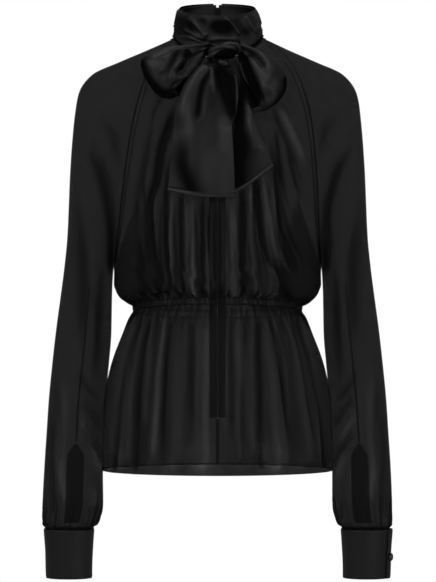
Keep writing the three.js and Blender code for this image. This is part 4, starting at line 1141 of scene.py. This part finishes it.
def neckPoint(up, angle):  # up is 0 at the neckline and 1 at the rim
    turn = np.mod(angle, 360)
    base = [line(turn) for line in neckline]
    sin, cos = np.sin(np.radians(turn)), np.cos(np.radians(turn))
    y = sin * np.where(sin > 0, rim["back"], -rim["front"])
    z = mix(rim["frontZ"], rim["backZ"], (y - rim["front"]) / (rim["back"] - rim["front"]))
    inward = neckInward(up)
    return np.stack([
        mix(base[0], rim["halfWidth"] * cos, inward),
        mix(base[1], y, inward),
        mix(base[2] + seamGap + 0.6, z, up),
    ], -1)


collar = dict(
    bandThickness=0.9, drapeThickness=0.7, drapeOut=1.9, fullness=1.5, frontFullness=3.0,
    rows=64, columns=236, bandRows=32, bandColumns=170, rootShade=1.0,
    # Folds with a negative density of their own paint highlights along the collar's edges.
    folds=[
        ([(-40, 34), (-28, 22), (-14, 5)], 3.8, 3.4, (0.1, 0.1), 2.6),
        ([(-48, 17), (-31, 9), (-14, 2)], 3.4, 3.0, (0.15, 0.1), 2.4),
        ([(-22, 34), (-18, 20), (-15, 8)], -2.6, 6, (0.2, 0.1)),
        ([(-46, 28), (-34, 15), (-18, 5)], -1.8, 4.5, (0.3, 0.1)),
        ([(10, 36), (20, 24), (31, 8)], 4.2, 3.2, (0.1, 0.1), 0.4),
        ([(38, 36), (45, 24), (54, 10)], 3.4, 3.0, (0.1, 0.2), 0.4),
        ([(24, 34), (34, 20), (46, 6)], -2.4, 6, (0.2, 0.2)),
        ([(-12, 24), (6, 15), (26, 14)], -2.6, 11, (0.2, 0.2)),
        ([(-16, 0), (6, 3), (32, 2)], 3.2, 3.4, (0.2, 0.2)),
        ([(52, 24), (57, 15), (60, 5)], 2.0, 3.4, (0.3, 0.3)),
        ([(49, 38), (55, 30), (60, 22)], 1.5, 3, (0.2, 0.2), 1, -0.9),
        ([(52, 26), (57, 18), (61, 12)], 1.0, 2.4, (0.2, 0.2), 1, -0.8),
        ([(-56, 6), (-34, 4), (-16, 3)], 1.6, 3, (0.2, 0.1), 1, -0.6),
    ],
    sideFolds=table("rimAngle baseAngle depth width", [
        (342, 325, 1.6, 6), (14, 356, 1.4, 6), (190, 205, 1.4, 6), (168, 182, 1.4, 6),
        (60, 40, 1.8, 8), (130, 148, 1.8, 8),
    ]),
    shade=table("x z density width", [
        (6, 22, 1.0, 17), (-28, 30, 0.5, 10), (-50, 30, 0.6, 9), (36, 12, 0.4, 8), (-16, 2, 0.6, 6),
        (-34, 14, 0.4, 8), (-50, 14, 0.5, 14), (-38, 22, 0.5, 14), (48, 16, 0.2, 10),
    ]),
)


def makeDrape():
    angle = fromZip(collarHalfGap, rim["back"], collar["columns"])
    up = np.linspace(1, 0.06, collar["rows"])[:, None]
    grid = neckPoint(up, np.broadcast_to(angle, (collar["rows"], collar["columns"])))
    x, z = seen(grid)
    frontOnly = smooth(8, -12, grid[..., 1])
    height, denseAndShaded = [part * frontOnly for part in creased(x, z, collar["folds"])]
    for rimAngle, baseAngle, depth, width in zip(*collar["sideFolds"].values()):
        away = np.mod(angle[None, :] - mix(baseAngle, rimAngle, up) + 540, 360) - 180
        height = height + depth * bell(away, width)
    held = smooth(1.01, 0.86, up) * smooth(-0.2, 0.2, up)
    full = mix(collar["fullness"], collar["frontFullness"], bell(angle - 278, 34))[None, :]
    amount = collar["drapeOut"] + np.clip((height + full) * held, 0.15, 9)
    denseAndShaded = shaded(denseAndShaded, x, z, collar["shade"], 1.4, frontOnly)
    denseAndShaded = denseAndShaded + collar["rootShade"] * smooth(0.17, 0.07, up)
    return pushed(grid, amount), np.clip(denseAndShaded, -1, 1)


def makeBand():
    angle = fromZip(zipHalfGap, rim["back"], collar["bandColumns"])
    up = np.linspace(0.965, 0, collar["bandRows"])[:, None]
    return neckPoint(up, np.broadcast_to(angle, (collar["bandRows"], collar["bandColumns"])))


grid, fold = makeDrape()
sewn("neckDrape", "neck_drape", "satin", grid, fold, collar["drapeThickness"],
     flat=(0.42, 0.075), held="draped", rests_on=["neckBand"], area=0.024)
sewn("neckBand", "neck_band", "satin", makeBand(), None, collar["bandThickness"],
     flat=(0.40, 0.065), held="stretched", rests_on=["frontBodice"], area=0.021)
print("collar made")


# Bow

loops = dict(
    left=table("angle length depth fromX fromZ centreY", [
        (185.5, 72, 6, -6.5, -10, -84), (189, 89, 12, -7.8, -12, -87), (194.5, 102, 16, -9, -14, -90),
        (202, 101, 18, -10.4, -16.5, -92), (211, 97, 18, -12.8, -18.8, -93), (221, 93, 16, -15.2, -21.8, -91),
        (231, 82, 11, -16.8, -25, -89), (237, 66, 6, -17, -28, -87),
    ]),
    right=table("angle length depth fromX fromZ centreY", [
        (-27, 60, 6, 27.5, -5.5, -90), (-31, 73, 12, 29, -8, -94), (-37.5, 85, 16, 30, -11, -99),
        (-45.5, 92.5, 18, 30.4, -14, -104), (-54.5, 95, 18, 30.6, -17, -107),
        (-63, 94, 16, 30.3, -20.5, -108), (-70.5, 90, 11, 29.6, -24, -109), (-76.5, 80, 6, 28.6, -27.5, -109),
    ]),
    rootY=-72.7, opening=14, short=dict(left=-9, right=9), rows=90, columns=120, thickness=0.7,
    pleatDepth=1.5, rootShade=2,
)
# Creases with a density of their own paint light and shade: a negative one paints a highlight band, and the
# last crease of each loop paints the shade where the loop turns away at its far end.
loopFolds = dict(
    left=[
        ([(-14, -8), (-52, -9), (-96, -24)], 3.5, 5.5, (0.1, 0.2), 0.6),
        ([(-52, -10), (-60, -20), (-70, -36), (-79, -52)], -5, 4.5, (0.2, 0.2), 1.2),
        ([(-34, -18), (-60, -34), (-84, -58)], 4.5, 6, (0.2, 0.3)),
        ([(-40, -15), (-49, -24), (-55, -36), (-58, -46)], -9, 6.5, (0.1, 0.3), 1.1),
        ([(-18, -12), (-32, -22), (-46, -36), (-60, -52)], 5, 4.5, (0.1, 0.2), 1, -0.7),
        ([(-24, -34), (-42, -52), (-56, -68)], -6, 4, (0.2, 0.3)),
        ([(-16, -4), (-52, -8), (-98, -24)], 0, 6, (0.1, 0.1), 1, -0.8),
        ([(-48, -20), (-62, -34), (-82, -56)], 0, 4.5, (0.2, 0.2), 1, -0.7),
        ([(-16, -20), (-32, -36), (-48, -54)], -3, 3.5, (0.1, 0.2)),
        ([(-46, -55), (-58, -62), (-68, -68)], 2, 3, (0.2, 0.2), 1, -0.6),
        ([(-99, -28), (-92, -44), (-80, -60), (-64, -66)], 0, 5, (0.1, 0.1), 1, -0.5),
        ([(-112, -30), (-104, -50), (-90, -68), (-70, -80), (-56, -78)], -1, 11, (0.0, 0.1), 1, 1.5),
    ],
    right=[
        ([(30, -2), (52, -10), (68, -26), (80, -44)], 4.5, 6, (0.1, 0.2), 0.6),
        ([(38, -14), (56, -24), (68, -42)], -3.5, 5, (0.2, 0.3)),
        ([(36, -16), (52, -36), (64, -58), (70, -80)], 3.5, 8, (0.2, 0.2)),
        ([(33, -18), (42, -44), (52, -70), (60, -96)], -10, 6, (0.1, 0.15), 1.3),
        ([(29, -26), (36, -54), (46, -82), (54, -100)], 3.5, 3.5, (0.1, 0.2)),
        ([(32, -3), (54, -12), (70, -28), (84, -46)], 0, 5, (0.1, 0.2), 1, -0.9),
        ([(46, -20), (62, -40), (76, -64), (80, -80)], 0, 9, (0.2, 0.2), 1, -0.35),
        ([(66, -84), (76, -84), (86, -72)], 0, 5, (0.2, 0.3), 1, -0.8),
        ([(101, -48), (100, -66), (92, -84), (78, -100), (58, -106)], -1, 9, (0.1, 0.1), 1, 1.3),
    ],
)


def makeLoop(name):
    line = tableCurves(loops[name])
    last = len(loops[name]["angle"]) - 1
    row = {key: at(np.linspace(0, last, loops["rows"]))[:, None] for key, at in line.items()}
    angle = np.radians(np.linspace(loops["opening"], 360 - loops["opening"], loops["columns"]))[None, :]
    away = (1 - np.cos(angle)) / 2
    reach = row["length"] * away
    puff = row["depth"] * np.sin(angle) * away ** 0.6
    rows = np.linspace(0, 1, loops["rows"])[:, None]
    short = smooth(0.0, 0.2, np.sin(angle)) * smooth(0.35, 0.75, away) * smooth(0.45, 1, rows)
    turn = np.radians(row["angle"] + short * loops["short"][name])
    reach = reach * (1 - 0.05 * smooth(0.0, 0.4, np.sin(angle)) * smooth(0.3, 0, np.abs(rows - 0.45)))
    grid = np.stack([
        row["fromX"] + reach * np.cos(turn),
        mix(loops["rootY"], row["centreY"], np.minimum(1.4 * away, 1)) - puff,
        row["fromZ"] + reach * np.sin(turn),
    ], -1)
    x, z = seen(grid)
    height, denseAndShaded = creased(x, z, loopFolds[name])
    front = smooth(0.0, 0.3, np.sin(angle)) * smooth(0.02, 0.12, away)
    edge = smooth(0, 0.12, rows) * smooth(1, 0.88, rows)
    pleats = loops["pleatDepth"] * smooth(0.4, 0.0, away) * np.sin(rows * 19 + 1) * smooth(0.0, 0.1, away)
    # Painted shade on the loop's back layer and where it is gathered into the knot.
    behind = smooth(0.1, -0.2, np.sin(angle))
    facing = smooth(-0.02, 0.03, np.sin(angle))
    gathered = loops["rootShade"] * smooth(0.09, 0.03, away)
    return pushed(grid, height * front * edge - pleats), np.clip(denseAndShaded * facing + behind + gathered, -1, 1)


tails = dict(
    front=table("leftX leftZ rightX rightZ y wave", [
        (-7, -31.8, 21, -31.2, -75.5, 0.8), (-24, -42, 25, -44, -87, 2.5), (-40, -60, 28, -62, -94, 4),
        (-53, -85, 30, -85, -101, 4), (-60, -112, 26, -108, -107.5, 4), (-62, -138, 20, -130, -114, 3.5),
        (-64, -165, 22, -160, -118.5, 3.5), (-67, -195, 23.5, -195, -121, 4),
        (-69.8, -220, 24.4, -229, -122.5, 4),
    ]),
    back=table("leftX leftZ rightX rightZ y wave", [
        (6, -30.8, 26, -30, -73, 0.5), (4, -52, 34, -50, -78, 1.5), (6, -80, 42, -75, -89, 2),
        (8, -110, 47, -100, -101.5, 2), (10, -140, 52, -118, -109, 1.8), (11, -172, 59, -138, -113.5, 1.8),
        (12, -205, 69, -162, -116, 1.8), (13, -228, 78.5, -185, -117, 1.8),
    ]),
    rows=110, columns=88, thickness=0.7,
    phase=dict(front=-1.2, back=2.2), hemDepth=4.6, hemStitch=4.9, stitchLift=0.15, hemShade=-0.8,
    hemLift=1.3, stitchShade=1.2, area=dict(front=0.0185, back=0.0105),
    shade=dict(
        front=table("x z density width", [
            (18, -60, 0.95, 12), (2, -34, 0.8, 8), (-8, -86, 0.4, 9), (-54, -180, 0.25, 12),
            (22, -92, 0.6, 7), (-40, -214, 0.4, 14), (-14, -60, 0.3, 5), (-58, -112, 0.5, 10),
            (-52, -84, 0.3, 7),
        ]),
        back=table("x z density width", [
            (30, -100, 1.0, 9), (30, -150, 1.0, 10), (30, -200, 1.0, 11), (42, -150, 0.7, 12),
            (36, -70, 1.0, 9), (46, -190, 0.4, 12),
        ]),
    ),
)
# Folds with a negative density of their own paint highlight bands.
tailFolds = dict(
    front=[
        ([(-12, -34), (-30, -50), (-46, -78), (-56, -118)], 3.5, 8, (0.1, 0.4)),
        ([(-10, -38), (-22, -58), (-27, -90), (-29, -124)], -6, 6.5, (0.1, 0.3), 1.2),
        ([(-10, -36), (-6, -60), (-4, -76)], 3, 4.5, (0.1, 0.4), 1, -0.6),
        ([(-16, -36), (-28, -50), (-44, -74)], 0, 7, (0.1, 0.4), 1, -0.5),
        ([(4, -36), (8, -62), (16, -96), (23, -126)], -5, 8, (0.1, 0.3), 1.3),
        ([(24, -46), (28, -64), (28, -84), (26, -108)], 2.4, 3, (0.1, 0.3)),
        ([(-48, -130), (-52, -170), (-36, -214), (-20, -232)], -3.5, 16, (0.3, 0.1)),
        ([(-6, -140), (0, -180), (8, -226)], 3, 18, (0.3, 0)),
    ],
    back=[
        ([(31, -70), (30, -110), (29, -160), (30, -210)], -4, 9, (0.2, 0)),
        ([(44, -86), (50, -120), (60, -160)], 3, 7, (0.3, 0.1)),
    ],
)


def makeTail(name):
    data = tails[name]
    line = tableCurves(data)
    at = np.linspace(0, len(data["y"]) - 1, tails["rows"])
    row = {key: one(at)[:, None] for key, one in line.items()}
    u = np.linspace(0, 1, tails["columns"])[None, :]
    dip = -4 * np.sin(math.pi * u) * smooth(0.86, 1, at / at[-1])[:, None]
    grid = np.stack([
        mix(row["leftX"], row["rightX"], u),
        row["y"] - row["wave"] * (1 + np.sin(u * 2.5 * math.pi + tails["phase"][name])),
        mix(row["leftZ"], row["rightZ"], u) + dip,
    ], -1)
    x, z = seen(grid)
    height, denseAndShaded = creased(x, z, tailFolds[name])
    top = smooth(0, 0.06, at / at[-1])[:, None]
    denseAndShaded = shaded(denseAndShaded, x, z, tails["shade"][name], 0.45)
    height = height * (1 - 0.35 * smooth(-110, -150, z))
    fromHem, deep = fromLast(grid), tails["hemDepth"]
    hem = bell(fromHem - deep / 2, deep / 2.6)
    edge = smooth(deep + 0.6, deep - 0.6, fromHem)
    # The negative hemShade paints a highlight along the hem's turned edge; stitchShade paints shade along the
    # stitching.
    denseAndShaded = np.clip(denseAndShaded, -1, 1) * (1 - edge) + tails["hemShade"] * edge
    denseAndShaded = denseAndShaded + tails["stitchShade"] * bell(fromHem - deep - 0.8, 0.7)
    height = height * top * (1 - 0.6 * edge) + tails["hemLift"] * hem
    return pushed(grid, height), np.clip(denseAndShaded, -1, 1)


for name in sides:
    grid, fold = makeLoop(name)
    sewn("bowLoop_" + name, "bow_loop_" + name, "satin", grid, fold, loops["thickness"],
         flat=(0.21, 0.075), held="foldedAndShaded", rests_on=["bowKnot"], area=0.0145)
for name, area in tails["area"].items():
    grid, fold = makeTail(name)
    stitchLines.append(rowAt(lifted(grid, tails["stitchLift"]), tails["hemStitch"])[3:-3])
    sewn("bowTail_" + name, "bow_tail_" + name, "satin", grid, fold, tails["thickness"],
         flat=(0.12, 0.21), held="draped", rests_on=["bowKnot"], area=area)


# The fold values paint the rolls: the roll and the oval get painted highlight, and the heart gets painted
# shade as the knot's dark hollow. The roll's ends are painted darker where they tuck behind.
knotRolls = dict(
    roll=dict(
        path=[(-10.5, -73, -33), (-10.2, -84, -28.5), (-5, -92, -22.5), (4, -95.5, -17.5), (14, -96, -15),
              (23, -93.5, -14.5), (29.5, -85, -18.5), (30.5, -73, -26)],
        height=[2.0, 4.4, 4.7, 3.8, 4.3, 4.8, 4.0, 2.0], depth=[2.4, 4.8, 5.2, 4.6, 5, 5.4, 4.6, 2.4],
        strands=3, swell=0.24, twist=21, fold=-1.3, tuckShade=2.2,
    ),
    heart=dict(
        path=[(-8, -68, -24), (3, -69.5, -25), (14, -69.5, -25), (26, -68, -23)],
        height=[4, 9.5, 9.5, 4], depth=[4, 9.6, 9.6, 4], strands=9, swell=0.06, twist=5, fold=1.0, tuckShade=0,
    ),
    oval=dict(
        path=[(0.5, -86, -37.5), (5, -91.5, -39), (11, -92, -39), (16, -87, -37)],
        height=[1.4, 5.4, 5.2, 1.3], depth=[1.4, 3.8, 3.6, 1.2],
        strands=3, swell=0.1, twist=6, fold=-0.5, tuckShade=0,
    ),
)
knotAround = 44


def rolledUp(look):  # a rolled, twisted length of cloth as rings of points, with its painted shade and highlight
    path = spline(look["path"], 10)
    share = np.linspace(-1, 1, len(path))
    ends = np.sqrt(np.clip(1 - np.abs(share) ** 12, 0.02, 1))
    at = np.linspace(0, len(look["path"]) - 1, len(path))
    sizes = tableCurves({key: look[key] for key in ("height", "depth")})
    halfHeight, halfDepth = (size(at) * ends for size in sizes.values())
    tangent = np.gradient(path, axis=0)
    tangent /= np.linalg.norm(tangent, axis=1, keepdims=True)
    up = np.cross(tangent, [0.0, -1.0, 0.0])
    middle = len(path) // 2
    up[middle] /= np.linalg.norm(up[middle])
    for k in [*range(middle + 1, len(path)), *range(middle - 1, -1, -1)]:  # carried outwards without turning
        near = up[k - 1 if k > middle else k + 1]
        up[k] = near - tangent[k] * np.dot(near, tangent[k])
        up[k] /= np.linalg.norm(up[k])
    out = np.cross(up, tangent)
    angle = np.linspace(0, 2 * math.pi, knotAround, endpoint=False)[None, :]
    twist, strands = np.linspace(0, 1, len(path))[:, None], look["strands"]
    groove = np.sin(strands * angle + look["twist"] * twist)
    ridge = 1 + look["swell"] * groove + 0.04 * np.sin((strands + 3) * angle - 5 * twist)
    rings = path[:, None, :] + up[:, None, :] * (halfHeight[:, None] * np.cos(angle) * ridge)[..., None] \
        + out[:, None, :] * (halfDepth[:, None] * np.sin(angle) * ridge)[..., None]
    tuckedEndShade = smooth(0.62, 0.88, np.abs(share))[:, None]
    # Painted shade in the grooves between the strands and on the tucked ends, added to each roll's painted
    # highlight or shade.
    return rings, look["fold"] + 1.4 * smooth(-0.1, -0.9, groove) + look["tuckShade"] * tuckedEndShade


def closedTube(grid):
    rows, columns = grid.shape[:2]
    ring = [(j, (j + 1) % columns) for j in range(columns)]
    faces = [[low + j, low + after, low + columns + after, low + columns + j]
             for low in range(0, (rows - 1) * columns, columns) for j, after in ring]
    low, end = (rows - 1) * columns, rows * columns
    for j, after in ring:
        faces += [[after, j, end], [low + j, low + after, end + 1]]
    return np.vstack([grid.reshape(-1, 3), grid[0].mean(0)[None], grid[-1].mean(0)[None]]), faces


def makeKnot():
    points, faces, folds = np.zeros((0, 3)), [], []
    for look in knotRolls.values():
        rings, shade = rolledUp(look)
        some, more = closedTube(rings)
        faces += [[index + len(points) for index in face] for face in more]
        points = np.vstack([points, some])
        # The end caps are painted in shade.
        folds.append(np.append(shade.ravel(), [1.0, 1.0]))
    uv = (points * mm)[[index for face in faces for index in face]][:, [0, 2]]
    return meshPiece("bowKnot", points, faces, uv, np.concatenate(folds), cloths["satin"])


finished(makeKnot(), "satin", "bow_knot")
print("bow made")


# Cuffs

cuffs = dict(
    rows=table("z centreX halfWidth centreY halfDepth", [
        (-697.9, 211.3, 36.2, -46, 30.4), (-735, 211.6, 33.8, -46.5, 29.3), (-767.5, 211.1, 33, -47, 28.6),
    ]),
    # The negative fold paints the cuffs' satin lighter, as a painted highlight.
    overlap=44, step=1.95, thickness=1.3, fold=-0.24, gridRows=44, columns=200,
    unevenness=0.35, edgeRoll=0.35, edgeReach=2.6,
)
cuffCurves = tableCurves(cuffs["rows"], "z")


def cuffPoint(side, z, angle, out=0.0):
    end = side["cuffEnd"]
    lift = cuffs["step"] * smooth(end - cuffs["overlap"] - 40, end - cuffs["overlap"] - 4, angle) + out
    cos, sin = np.cos(np.radians(angle)), np.sin(np.radians(angle))
    return np.stack(np.broadcast_arrays(
        side["sign"] * (cuffCurves["centreX"](z) + (cuffCurves["halfWidth"](z) + lift) * cos),
        cuffCurves["centreY"](z) - (cuffCurves["halfDepth"](z) + lift) * sin,
        z - seamGap,
    ), -1)


def makeCuff(name):
    side = sides[name]
    angle = np.linspace(side["cuffEnd"], side["cuffEnd"] - 360 - cuffs["overlap"], cuffs["columns"])[None, :]
    top, bottom = cuffs["rows"]["z"][[0, -1]]
    z = np.linspace(top, bottom, cuffs["gridRows"])[:, None]
    down, reach = (top - z) / (top - bottom), cuffs["edgeReach"]
    soft = cuffs["unevenness"] * np.sin(np.radians(angle) * 3 + z / 14) * np.sin(down * math.pi)
    roll = -cuffs["edgeRoll"] * (smooth(top - reach, top, z) + smooth(bottom + reach, bottom, z))
    return pushed(cuffPoint(side, z, angle), soft + roll, False, side["sign"] < 0)


for name, side in sides.items():
    grid = makeCuff(name)
    out = lifted(grid, stitchLift, side["sign"] < 0)
    stitchLines.extend([out[2, 3:], out[-3, 3:], out[3:-3, 4]])
    sewn("cuffCloth_" + name, "cuff_" + name, "satin", grid, cuffs["fold"], cuffs["thickness"],
         flip=side["sign"] < 0, flat=(0.24, 0.062), held="foldedAndShaded", rests_on=["sleeveCloth_" + name])
print("cuffs made")


# Zip: two tapes behind the centre back edges, a row of teeth, a slider and its pull tab

zipParts = dict(
    topZ=52, halfWidth=12.3, collarWidth=3.4, inner=0.15, clearance=0.75, thickness=0.7, rows=240, columns=9,
    teethTopZ=46, teethOut=0.9, teethRows=[(-0.6, 0.0), (0.6, 0.7)],
    bend=table("z radius", [
        (58, 40), (10, 46), (-40, 110), (-150, 190), (-300, 150), (-385, 95), (-450, 120), (-560, 140),
    ]),
)


def centreBackLine():
    upper = neckPoint(np.linspace(1, 0, 30), np.full(30, 90.0))[:, 1:]
    rows = [torsoRows(sides["right"], False)[1:, 3:5], peplumGridRows(sides["right"], False)[:, 3:5]]
    line = np.vstack([upper, *rows])
    line = line[np.argsort(line[:, 1])]
    return curve(*line[np.concatenate([[True], np.diff(line[:, 1]) > 0.05])].T[::-1])


centreBack = centreBackLine()


def makeTape(name):
    sign = sides[name]["sign"]
    z = np.linspace(zipParts["topZ"], zipEnd, zipParts["rows"])
    width = mix(zipParts["collarWidth"], zipParts["halfWidth"], smooth(-2, -22, z))
    across = np.linspace(0, 1, zipParts["columns"])
    x = mix(zipParts["inner"], width[:, None], (across[::-1] if sign > 0 else across)[None, :])
    wall = 1.2 + 1.5 * bell(z - (casingTop + casingBottom) / 2 + 6, 16)
    radius = curve(*zipParts["bend"].values())(z)
    y = (centreBack(z) - wall - zipParts["clearance"])[:, None] - x ** 2 / (2 * radius[:, None])
    return np.stack([sign * x, y, np.broadcast_to(z[:, None], x.shape)], -1)


def beadTree():  # small rounded pieces spaced along lines: stitches and the zip's teeth
    tree = bpy.data.node_groups.new("piecesAlongLines", "GeometryNodeTree")
    inputs = dict(Lines="Geometry", Spacing="Float", Size="Vector", Unevenness="Float", Seed="Int",
                  Material="Material")
    for title, kind in inputs.items():
        tree.interface.new_socket(title, in_out="INPUT", socket_type="NodeSocket" + kind)
    tree.interface.new_socket("Pieces", in_out="OUTPUT", socket_type="NodeSocketGeometry")
    given = tree.nodes.new("NodeGroupInput")
    wire = {socket.name: Wire(tree, socket) for socket in given.outputs if socket.name}

    def node(kind, settings=None, values=None, output=0):
        return Wire.node(tree, kind, settings, values, output)

    lines = node("GeometryNodeMeshToCurve", values={"Mesh": wire["Lines"]})
    spaced = node("GeometryNodeResampleCurve", {"mode": "LENGTH"},
                  {"Curve": lines, "Length": wire["Spacing"]})
    tangent = node("GeometryNodeInputTangent")
    turned = node("FunctionNodeAlignRotationToVector", {"axis": "X"}, {"Vector": tangent})
    least = wire["Unevenness"] * -1 + 1.0
    random = node("FunctionNodeRandomValue", {"data_type": "FLOAT"},
                  {2: least, 3: wire["Unevenness"] + 1.0, "Seed": wire["Seed"]}, 1)
    size = node("VectorMath", {"operation": "SCALE"}, {"Vector": wire["Size"], "Scale": random})
    ball = node("GeometryNodeMeshUVSphere", values={"Segments": 5, "Rings": 3, "Radius": 0.5})
    placed = node("GeometryNodeInstanceOnPoints",
                  values={"Points": spaced, "Instance": ball, "Rotation": turned, "Scale": size})
    real = node("GeometryNodeRealizeInstances", values={"Geometry": placed})
    soft = node("GeometryNodeSetShadeSmooth", values={"Geometry": real})
    made = node("GeometryNodeSetMaterial", values={"Geometry": soft, "Material": wire["Material"]})
    tree.links.new(made.socket, tree.nodes.new("NodeGroupOutput").inputs[0])
    return tree


def beads(name, lines, material, **values):
    ends = set(np.cumsum([len(line) for line in lines]).tolist())
    edges = [[k, k + 1] for k in range(max(ends) - 1) if k + 1 not in ends]
    mesh = bpy.data.meshes.new(name)
    mesh.from_pydata((np.vstack(lines) * mm).tolist(), edges, [])
    piece = added(name, mesh)
    modifier = piece.modifiers.new("pieces", "NODES")
    modifier.node_group = beadsTree
    named = {item.name: item.identifier for item in beadsTree.interface.items_tree if item.in_out == "INPUT"}
    for key, value in dict(values, Material=material).items():
        modifier[named[key]] = value
    return settled(piece, modifier)


beadsTree = beadTree()
stitching = dict(Spacing=0.0026, Size=(0.0019, 0.00028, 0.00028), Unevenness=0.08, Seed=4)
teeth = dict(Spacing=0.0014, Size=(0.00075, 0.001, 0.0021), Unevenness=0.0, Seed=1)
for name in sides:
    sewn("zipTape_" + name, "zip_tape_" + name, "zip_tape", makeTape(name), None, zipParts["thickness"],
         flat=(0.0125, 0.62), held="stretched", rests_on=["backBodice_" + name], area=0.0072)
z = np.linspace(zipParts["teethTopZ"], zipEnd + 2, 500)
rows = [np.column_stack([np.full_like(z, x), centreBack(z - start) - zipParts["teethOut"], z - start])
        for x, start in zipParts["teethRows"]]
finished(beads("zipTeeth", rows, blackMetal, **teeth), "zip_metal")
finished(beads("stitches", stitchLines, thread, **stitching), "georgette")


def refined(node, material, bevel, body):  # the exact solid with softly rounded edges
    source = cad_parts[node]
    mesh = source.data.copy()
    mesh.transform(source.matrix_world)
    soft = bmesh.new()
    soft.from_mesh(mesh)
    bmesh.ops.remove_doubles(soft, verts=soft.verts, dist=0.00001)
    bmesh.ops.dissolve_limit(soft, angle_limit=math.radians(1), verts=soft.verts, edges=soft.edges)
    soft.to_mesh(mesh)
    soft.free()
    mesh.materials.clear()
    mesh.materials.append(material)
    piece = added("fine_" + node, mesh)
    rounded = piece.modifiers.new("rounded", "BEVEL")
    rounded.width, rounded.segments = bevel, 3
    rounded.limit_method, rounded.angle_limit = "ANGLE", math.radians(35)
    return finished(settled(piece, rounded), "zip_metal", node, body=body)


for node, body in dict(zip_slider="garment", zip_pull="zip_pull").items():
    refined(node, blackMetal, 0.0003, body)
print("zip made")


# Camera, light and floor

def addCamera():
    data = bpy.data.cameras.new("camera")
    data.sensor_width = 36
    data.lens = data.sensor_width * camera["distance"] / camera["fieldHeight"]
    piece = added("camera", data)
    piece.location = (camera["sideways"], -camera["distance"], camera["height"])
    piece.rotation_euler = (math.pi / 2, 0, 0)
    bpy.context.scene.camera = piece


lampTarget = (0, 0, -0.33)
lamps = dict(
    key=dict(place=(-1.7, -2.6, 1.3), size=1.6, power=20),
    fill=dict(place=(2.0, -2.6, 0.2), size=1.6, power=12),
    above=dict(place=(0.0, -0.8, 2.2), size=1.4, power=9),
)


def addLamps():
    for name, lamp in lamps.items():
        data = bpy.data.lights.new(name, "AREA")
        data.size = lamp["size"]
        data.energy = lamp["power"]
        piece = added(name, data)
        piece.location = lamp["place"]
        piece.rotation_euler = (Vector(lampTarget) - piece.location).to_track_quat("-Z", "Y").to_euler()


studio = dict(
    seenWhite=1.0, worldLight=0.15, floorHalf=2.2, floorZ=-1.4,
    floor=dict(roughness=0.7, specular=0.5, metallic=0.0, scale=3.0, greys=(0.80, 0.86), spread=0),
)


def addWorld():  # white where the camera sees it, and dim as a light
    world = bpy.data.worlds.new("studio")
    bpy.context.scene.world = world
    world.use_nodes = True
    tree = world.node_tree
    tree.nodes.clear()
    white, dim = (Wire.node(tree, "Background", values={"Color": (1, 1, 1, 1), "Strength": studio[key]})
                  for key in ("seenWhite", "worldLight"))
    toCamera = Wire.node(tree, "LightPath", output="Is Camera Ray")
    chosen = Wire.node(tree, "MixShader", values={"Fac": toCamera, 1: dim, 2: white})
    tree.links.new(chosen.socket, tree.nodes.new("ShaderNodeOutputWorld").inputs["Surface"])
    bpy.context.scene.view_settings.view_transform = "Standard"


def addFloor():
    half, z = studio["floorHalf"], studio["floorZ"]
    corners = [(-half, -half, z), (half, -half, z), (half, half, z), (-half, half, z)]
    mesh = bpy.data.meshes.new("floor")
    mesh.from_pydata(corners, [], [(0, 1, 2, 3)])
    mesh.materials.append(hardMaterial("paleFloor", **studio["floor"]))
    added("floor", mesh)


addCamera()
addLamps()
addWorld()
addFloor()

print("light and camera set")

for name in sides:  # the buttons are shown as they are
    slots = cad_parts["cuff_button_" + name].data.materials
    slots.clear()
    slots.append(resin)
